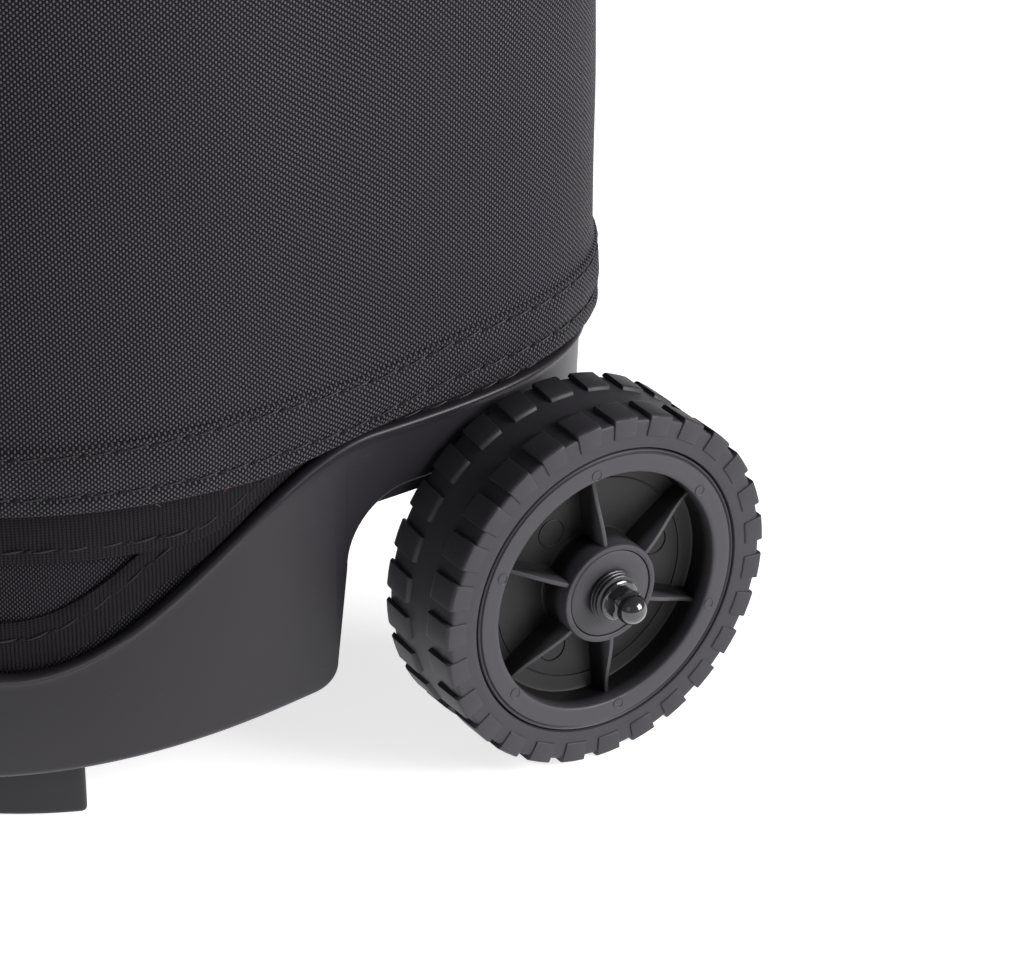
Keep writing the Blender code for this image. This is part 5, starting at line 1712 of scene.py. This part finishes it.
@dataclass
class Front(Assembly):
    """The launch window's surround: screws and a rubber edge strip."""

    def build(self) -> None:
        """Makes the trim on the bezel."""
        low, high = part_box("front_bezel")
        border = 0.006
        for index, (x, z) in enumerate(((low.x, low.z), (high.x, low.z), (low.x, high.z), (high.x, high.z))):
            across = x - math.copysign(border, x)
            height = z + (border if z == low.z else -border)
            run = PLAN.run_at_width(across)
            place = Vector(PLAN.at(run, height, 0.0))
            normal = (Vector(PLAN.at(run, height, 1.0)) - place).normalized()
            screw(f"bezel_screw_{index}", place - normal * 0.0001, normal, 0.0027, self.body)
        self.edge_strip(low, high)

    def edge_strip(self, low: Vector, high: Vector) -> None:
        """A soft bead where the cloth meets the surround.

        Args:
            low: the surround's lowest corner.
            high: its highest corner.
        """
        corner, inset = 0.006, 0.0006
        side = PLAN.run_at_width(high.x)
        ring = []
        for (cq, cz), first in (((side - corner, high.z - corner), 90),
                                ((-side + corner, high.z - corner), 180),
                                ((-side + corner, low.z + corner), 270),
                                ((side - corner, low.z + corner), 360)):
            ring += arc((cq, cz), corner + inset, first, first - 90, 6)[::-1]
        ring = np.array(ring)
        dense = []
        for a, b in zip(ring, np.roll(ring, -1, 0)):
            steps = max(1, int(np.hypot(*(b - a)) / 0.006))
            dense += [a + (b - a) * k / steps for k in range(steps)]
        dense = np.array(dense)
        ahead = np.roll(dense, -1, 0) - np.roll(dense, 1, 0)
        ahead /= np.linalg.norm(ahead, axis=1)[:, None]
        out = np.stack((ahead[:, 1], -ahead[:, 0]), -1)
        rows = []
        for a in np.linspace(0, TAU, 9)[:-1]:
            moved = dense + out * 0.0011 * math.cos(a)
            rows.append(PLAN.at(moved[:, 0], moved[:, 1], 0.0008 + 0.0011 * math.sin(a)))
        Skin().grid(np.array(rows), around=True, closed=True).build("window_bead", FOOT_RUBBER, self.body)


@dataclass
class Controls(Assembly):
    """The side panel: dial scales, pointer lines, switch surround and screws."""

    def build(self) -> None:
        """Makes the panel's details."""
        low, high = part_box("control_housing")
        face = low.x
        border = 0.006
        out = Vector((-1, 0, 0))
        for index, (y, z) in enumerate(((low.y, low.z), (high.y, low.z), (low.y, high.z), (high.y, high.z))):
            place = Vector((face, y - math.copysign(border, y - (low.y + high.y) / 2),
                            z - math.copysign(border, z - (low.z + high.z) / 2)))
            screw(f"panel_screw_{index}", place, out, 0.0025, self.body)
        for node in ("speed_knob", "interval_knob"):
            self.scale(node, face)
            self.pointer(node, node)
        self.scale("elevation_knob", face, ticks=9, reach=0.0025)
        self.pointer("elevation_knob", "elevation_drive")
        self.surround(face)

    def scale(self, node: str, face: float, ticks: int = 11, reach: float = 0.003) -> None:
        """Raised ticks round a dial.

        Args:
            node: the dial's knob.
            face: the panel's face.
            ticks: how many there are.
            reach: how long each is.
        """
        low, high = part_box(node)
        centre, radius = (low + high) / 2, (high.z - low.z) / 2
        skin = Skin()
        for index in range(ticks):
            turn = math.radians(225 - 270 * index / (ticks - 1))
            long = index % 5 == 0
            a, b = radius + 0.0016, radius + 0.0016 + reach * (1.0 if long else 0.6)
            width = 0.00045 if long else 0.0003
            around = Matrix.Rotation(-turn, 3, "X")
            box = [around @ Vector((x, y, z)) for x in (0.0003, -0.00025) for y, z in
                   ((a, -width), (b, -width), (b, width), (a, width))]
            place = Vector((face, centre.y, centre.z))
            points = np.array([place + p for p in box]).reshape(2, 4, 3)
            skin.grid(points, around=True).polygon(points[0], flip=True).polygon(points[1])
        skin.build(f"{node}_scale", MARKING, self.body, sharp=30)

    def pointer(self, node: str, body: str) -> None:
        """The line on a knob's cap, and the grips round it.

        Args:
            node: the knob.
            body: what it turns with.
        """
        low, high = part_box(node)
        centre, radius = (low + high) / 2, (high.z - low.z) / 2
        skin = Skin().box((low.x - 0.0004, centre.y - 0.0006, centre.z + radius * 0.35),
                          (low.x + 0.0006, centre.y + 0.0006, centre.z + radius * 0.92))
        skin.build(f"{node}_pointer", MARKING, body, sharp=30)
        ribs = Skin()
        count = 24
        for index in range(count):
            turn = TAU * index / count
            out = Vector((0, math.cos(turn), math.sin(turn)))
            aside = Vector((0, -math.sin(turn), math.cos(turn)))
            place = Vector((0, centre.y, centre.z))
            rows = []
            for x, deep in ((low.x + 0.0012, 0.0), (low.x + 0.0020, 0.00055), (high.x - 0.0030, 0.00055),
                            (high.x - 0.0022, 0.0)):
                start = Vector((x, 0, 0)) + place
                rows.append([start + out * (radius - 0.0006 + (0.0006 + deep) * h) + aside * w for w, h in
                             ((-0.0007, 0), (-0.00045, 0.8), (0, 1), (0.00045, 0.8), (0.0007, 0))])
            rows = np.array(rows)
            ribs.grid(rows, around=True).polygon(rows[0], flip=True).polygon(rows[-1])
        ribs.build(f"{node}_grips", GRIP_RUBBER, body, sharp=50)

    def surround(self, face: float) -> None:
        """The raised edge round the rocker switch.

        Args:
            face: the panel's face.
        """
        low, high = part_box("power_switch")
        margin, wide, rise = 0.0008, 0.0016, 0.0012
        ring = ((high.y, high.z, 0), (low.y, high.z, 90), (low.y, low.z, 180), (high.y, low.z, 270))
        rows = []
        for grow, x in ((margin, face + 0.0002), (margin, face - rise), (margin + wide, face - rise * 0.8),
                        (margin + wide + 0.0003, face + 0.0002)):
            row = []
            for y, z, first in ring:
                for a in np.radians(np.linspace(first, first + 90, 5)):
                    row.append((x, y + grow * math.cos(a), z + grow * math.sin(a)))
            rows.append(row)
        skin = Skin().grid(np.array(rows), around=True)
        skin.build("switch_surround", DARK_PLASTIC, self.body, outward=False)


@dataclass
class Handle(Assembly):
    """Ribs on the grip and collars on the tubes."""

    body: str = "handle_top"

    def build(self) -> None:
        """Makes the handle's details."""
        low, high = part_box("grip")
        middle_y, middle_z = (low.y + high.y) / 2, (low.z + high.z) / 2
        half_y, half_z = (high.y - low.y) / 2, (high.z - low.z) / 2
        turns = np.linspace(0, TAU, 41)[:-1]
        reach = (np.abs(np.cos(turns)) ** 6 + np.abs(np.sin(turns)) ** 6) ** (-1 / 6)
        skin = Skin()
        for side in (-1, 1):
            for index in range(9):
                x = side * (0.024 + index * 0.0046)
                rows = []
                for step, lift in ((-0.0013, -0.0008), (-0.0009, 0.0006), (0.0, 0.0010), (0.0009, 0.0006),
                                   (0.0013, -0.0008)):
                    rows.append(np.column_stack((np.full_like(turns, x + step),
                                                 middle_y + (half_y + lift) * reach * np.cos(turns),
                                                 middle_z + (half_z + lift) * reach * np.sin(turns))))
                skin.grid(np.array(rows), around=True)
        skin.build("grip_ribs", GRIP_RUBBER, self.body, sharp=60, outward=False)
        for side, label in ((-1, "left"), (1, "right")):
            self.collar(label)

    def collar(self, label: str) -> None:
        """The moulded collar at a middle tube's top.

        Args:
            label: left or right.
        """
        low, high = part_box(f"middle_tube_{label}")
        centre, radius = (low + high) / 2, (high.x - low.x) / 2
        inner = (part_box(f"inner_tube_{label}")[1].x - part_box(f"inner_tube_{label}")[0].x) / 2 + 0.0004
        top = high.z
        turns = np.linspace(0, TAU, 49)[:-1]
        rows = []
        for r, z in ((radius + 0.0003, top - 0.0075), (radius + 0.0017, top - 0.0070),
                     (radius + 0.0019, top - 0.0010), (radius + 0.0014, top + 0.0008),
                     (radius - 0.0003, top + 0.0016), (inner, top + 0.0014), (inner, top + 0.0003),
                     (radius + 0.0003, top + 0.0002)):
            rows.append(np.column_stack((centre.x + r * np.cos(turns), centre.y + r * np.sin(turns),
                                         np.full_like(turns, z))))
        skin = Skin().grid(np.array(rows), around=True, closed=True)
        skin.build(f"tube_collar_{label}", DARK_PLASTIC, "handle_middle")


@dataclass
class Inside(Assembly):
    """Details on the pieces inside: terminals, chips and the tread of the launch wheels."""

    def build(self) -> None:
        """Makes the inner details."""
        self.battery()
        self.board()
        for height in ("upper", "lower"):
            self.launch_tread(height)

    def battery(self) -> None:
        """Terminals and a cap strip on the battery."""
        low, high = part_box("battery")
        skin = Skin()
        for x in (low.x + 0.018, high.x - 0.018):
            skin.box((x - 0.0035, low.y + 0.012, high.z - 0.0005),
                     (x + 0.0035, low.y + 0.020, high.z + 0.005))
        skin.build("battery_terminals", ALUMINIUM, self.body, sharp=30)
        cap = Skin().box((low.x + 0.006, low.y + 0.028, high.z - 0.0004),
                         (high.x - 0.006, high.y - 0.006, high.z + 0.0012))
        cap.build("battery_cap_strip", DARK_PLASTIC, self.body, sharp=30)

    def board(self) -> None:
        """Chips on the control board's inner face."""
        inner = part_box("control_board")[1].x
        skin = Skin()
        for y, z, half_y, half_z, rise in ((-0.018, 0.270, 0.007, 0.007, 0.002),
                                           (0.008, 0.300, 0.005, 0.003, 0.002),
                                           (0.022, 0.262, 0.004, 0.006, 0.009),
                                           (-0.012, 0.318, 0.010, 0.004, 0.006)):
            skin.box((inner - 0.0003, y - half_y, z - half_z), (inner + rise, y + half_y, z + half_z))
        skin.build("board_chips", DARK_PLASTIC, self.body, sharp=30)

    def launch_tread(self, height: str) -> None:
        """Fine ribs round a launch wheel's rim, on both sides of its hollow.

        Args:
            height: upper or lower.
        """
        low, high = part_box(f"launch_wheel_{height}")
        centre, radius = (low + high) / 2, (high.z - low.z) / 2
        skin = Skin()
        count = 60
        for side in (-1, 1):
            edge = high.x - 0.0008 if side > 0 else low.x + 0.0008
            for index in range(count):
                turn = TAU * index / count
                out = np.array([0, math.cos(turn), math.sin(turn)])
                across = np.array([0, -math.sin(turn), math.cos(turn)])
                rows = []
                for distance in (radius - 0.0075, radius - 0.0010):
                    rows.append([np.array([edge + side * rise, centre.y, centre.z])
                                 + out * distance + across * w
                                 for w, rise in ((-0.0009, -0.0004), (0.0, 0.0012), (0.0009, -0.0004))])
                rows = np.array(rows)
                skin.grid(rows, around=True).polygon(rows[0], flip=True).polygon(rows[-1])
        skin.build(f"launch_tread_{height}", FOOT_RUBBER, f"launch_wheel_{height}", sharp=30)


class NodeFinish(Enum):
    """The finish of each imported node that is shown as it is."""

    PLASTIC = (TEXTURED_PLASTIC, ("axle_bracket_left", "axle_bracket_right", "top_frame", "handle_tray",
                                  "front_bezel", "control_housing"))
    DARK = (DARK_PLASTIC, ("ball_chute", "launch_tube", "ball_guide"))
    RUBBER = (FOOT_RUBBER, ("launch_wheel_upper", "launch_wheel_lower"))
    BARE = (STEEL, ("axle", "side_frame_left", "side_frame_right", "elevation_sector", "elevation_pinion",
                    "feed_pinion"))
    BLACK = (BLACK_STEEL, ("lid_hinge_left", "lid_hinge_right", "lid_leaf_left", "lid_leaf_right",
                           "pivot_bracket_left", "pivot_bracket_right", "launch_motor_upper",
                           "launch_motor_lower", "feed_motor"))
    GREY = (GREY_PLASTIC, ("hopper", "feed_rotor", "feed_gear", "battery"))
    BRIGHT = (ALUMINIUM, ("middle_tube_left", "middle_tube_right", "inner_tube_left", "inner_tube_right",
                          "handle_channel_left", "handle_channel_right", "launch_plate_left",
                          "launch_plate_right"))
    SOFT = (GRIP_RUBBER, ("grip", "handle_button", "elevation_knob", "speed_knob", "interval_knob"))
    RED = (SIGNAL_RED, ("power_switch",))
    BOARD = (BOARD, ("control_board",))

    def apply(self) -> None:
        """Gives the nodes their finish."""
        finish, nodes = self.value
        for name in nodes:
            node = frame["nodes"][name]
            node.data.materials.clear()
            node.data.materials.append(finish.material())


# The studio


@dataclass
class Studio:
    """Pale floor, soft lights and the camera."""

    camera_at: Vector = field(default_factory=lambda: Vector((1.3899, -0.7069, 0.9225)))
    azimuth: float = 56.2
    elevation: float = 29.4
    lens: float = 149.4
    shift: tuple[float, float] = (-0.00195, 0.00146)

    def build(self) -> None:
        """Sets the studio up."""
        self.floor()
        bpy.context.scene.view_settings.view_transform = "Standard"
        self.world(0.16)
        self.lamp("key", (2.3, 1.7, 1.3), (0.2, 0.05, 0.2), 1.5, 105.0)
        self.lamp("fill", (1.6, -2.2, 1.4), (0.1, 0.0, 0.2), 1.4, 3.0)
        self.camera()

    def floor(self) -> None:
        """The floor, wide enough to fill the view."""
        half = 8.0
        skin = Skin().polygon(np.array([(-half, -half, 0.0), (half, -half, 0.0),
                                        (half, half, 0.0), (-half, half, 0.0)]))
        mesh = bpy.data.meshes.new("studio_floor")
        mesh.from_pydata(np.concatenate(skin.points).tolist(), [], skin.faces)
        floor = bpy.data.objects.new("studio_floor", mesh)
        bpy.context.scene.collection.objects.link(floor)
        mesh.materials.append(PAPER.material())

    @staticmethod
    def world(strength: float) -> None:
        """An even white surround.

        Args:
            strength: how bright it is.
        """
        world = bpy.data.worlds.new("studio")
        world.use_nodes = True
        background = world.node_tree.nodes["Background"]
        background.inputs["Color"].default_value = (1.0, 1.0, 1.0, 1)
        background.inputs["Strength"].default_value = strength
        bpy.context.scene.world = world

    @staticmethod
    def lamp(name: str, place: Sequence[float], target: Sequence[float], size: float, power: float) -> None:
        """A square soft box that faces a point.

        Args:
            name: the lamp's name.
            place: where it hangs.
            target: the point that it faces.
            size: the length of its side.
            power: in watts.
        """
        light = bpy.data.lights.new(name, "AREA")
        light.shape = "SQUARE"
        light.size = size
        light.energy = power
        holder = bpy.data.objects.new(name, light)
        holder.location = place
        holder.rotation_mode = "QUATERNION"
        holder.rotation_quaternion = (Vector(target) - Vector(place)).to_track_quat("-Z", "Y")
        bpy.context.scene.collection.objects.link(holder)

    def camera(self) -> None:
        """The camera, at the view the machine was rebuilt from."""
        turn, rise = math.radians(self.azimuth), math.radians(self.elevation)
        away = Vector((math.sin(turn) * math.cos(rise), -math.cos(turn) * math.cos(rise), math.sin(rise)))
        data = bpy.data.cameras.new("camera")
        data.lens = self.lens
        data.sensor_width = 36.0
        data.shift_x, data.shift_y = self.shift
        data.dof.use_dof = False
        data.clip_end = 50.0
        holder = bpy.data.objects.new("camera", data)
        holder.location = self.camera_at
        holder.rotation_mode = "QUATERNION"
        holder.rotation_quaternion = (-away).to_track_quat("-Z", "Y")
        bpy.context.scene.collection.objects.link(holder)
        bpy.context.scene.camera = holder


def main() -> None:
    logging.basicConfig(level=logging.INFO, format="%(name)s: %(message)s")
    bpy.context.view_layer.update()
    for finish in NodeFinish:
        finish.apply()
    for assembly in (Tub(), Foot(), Cover(), Lining(), StrayFibres(), Wheel(side=1), Wheel(side=-1), Lid(),
                     TopRing(), Front(), Controls(), Handle(), Inside()):
        assembly.build()
    Studio().build()


if __name__ == "__main__":
    main()
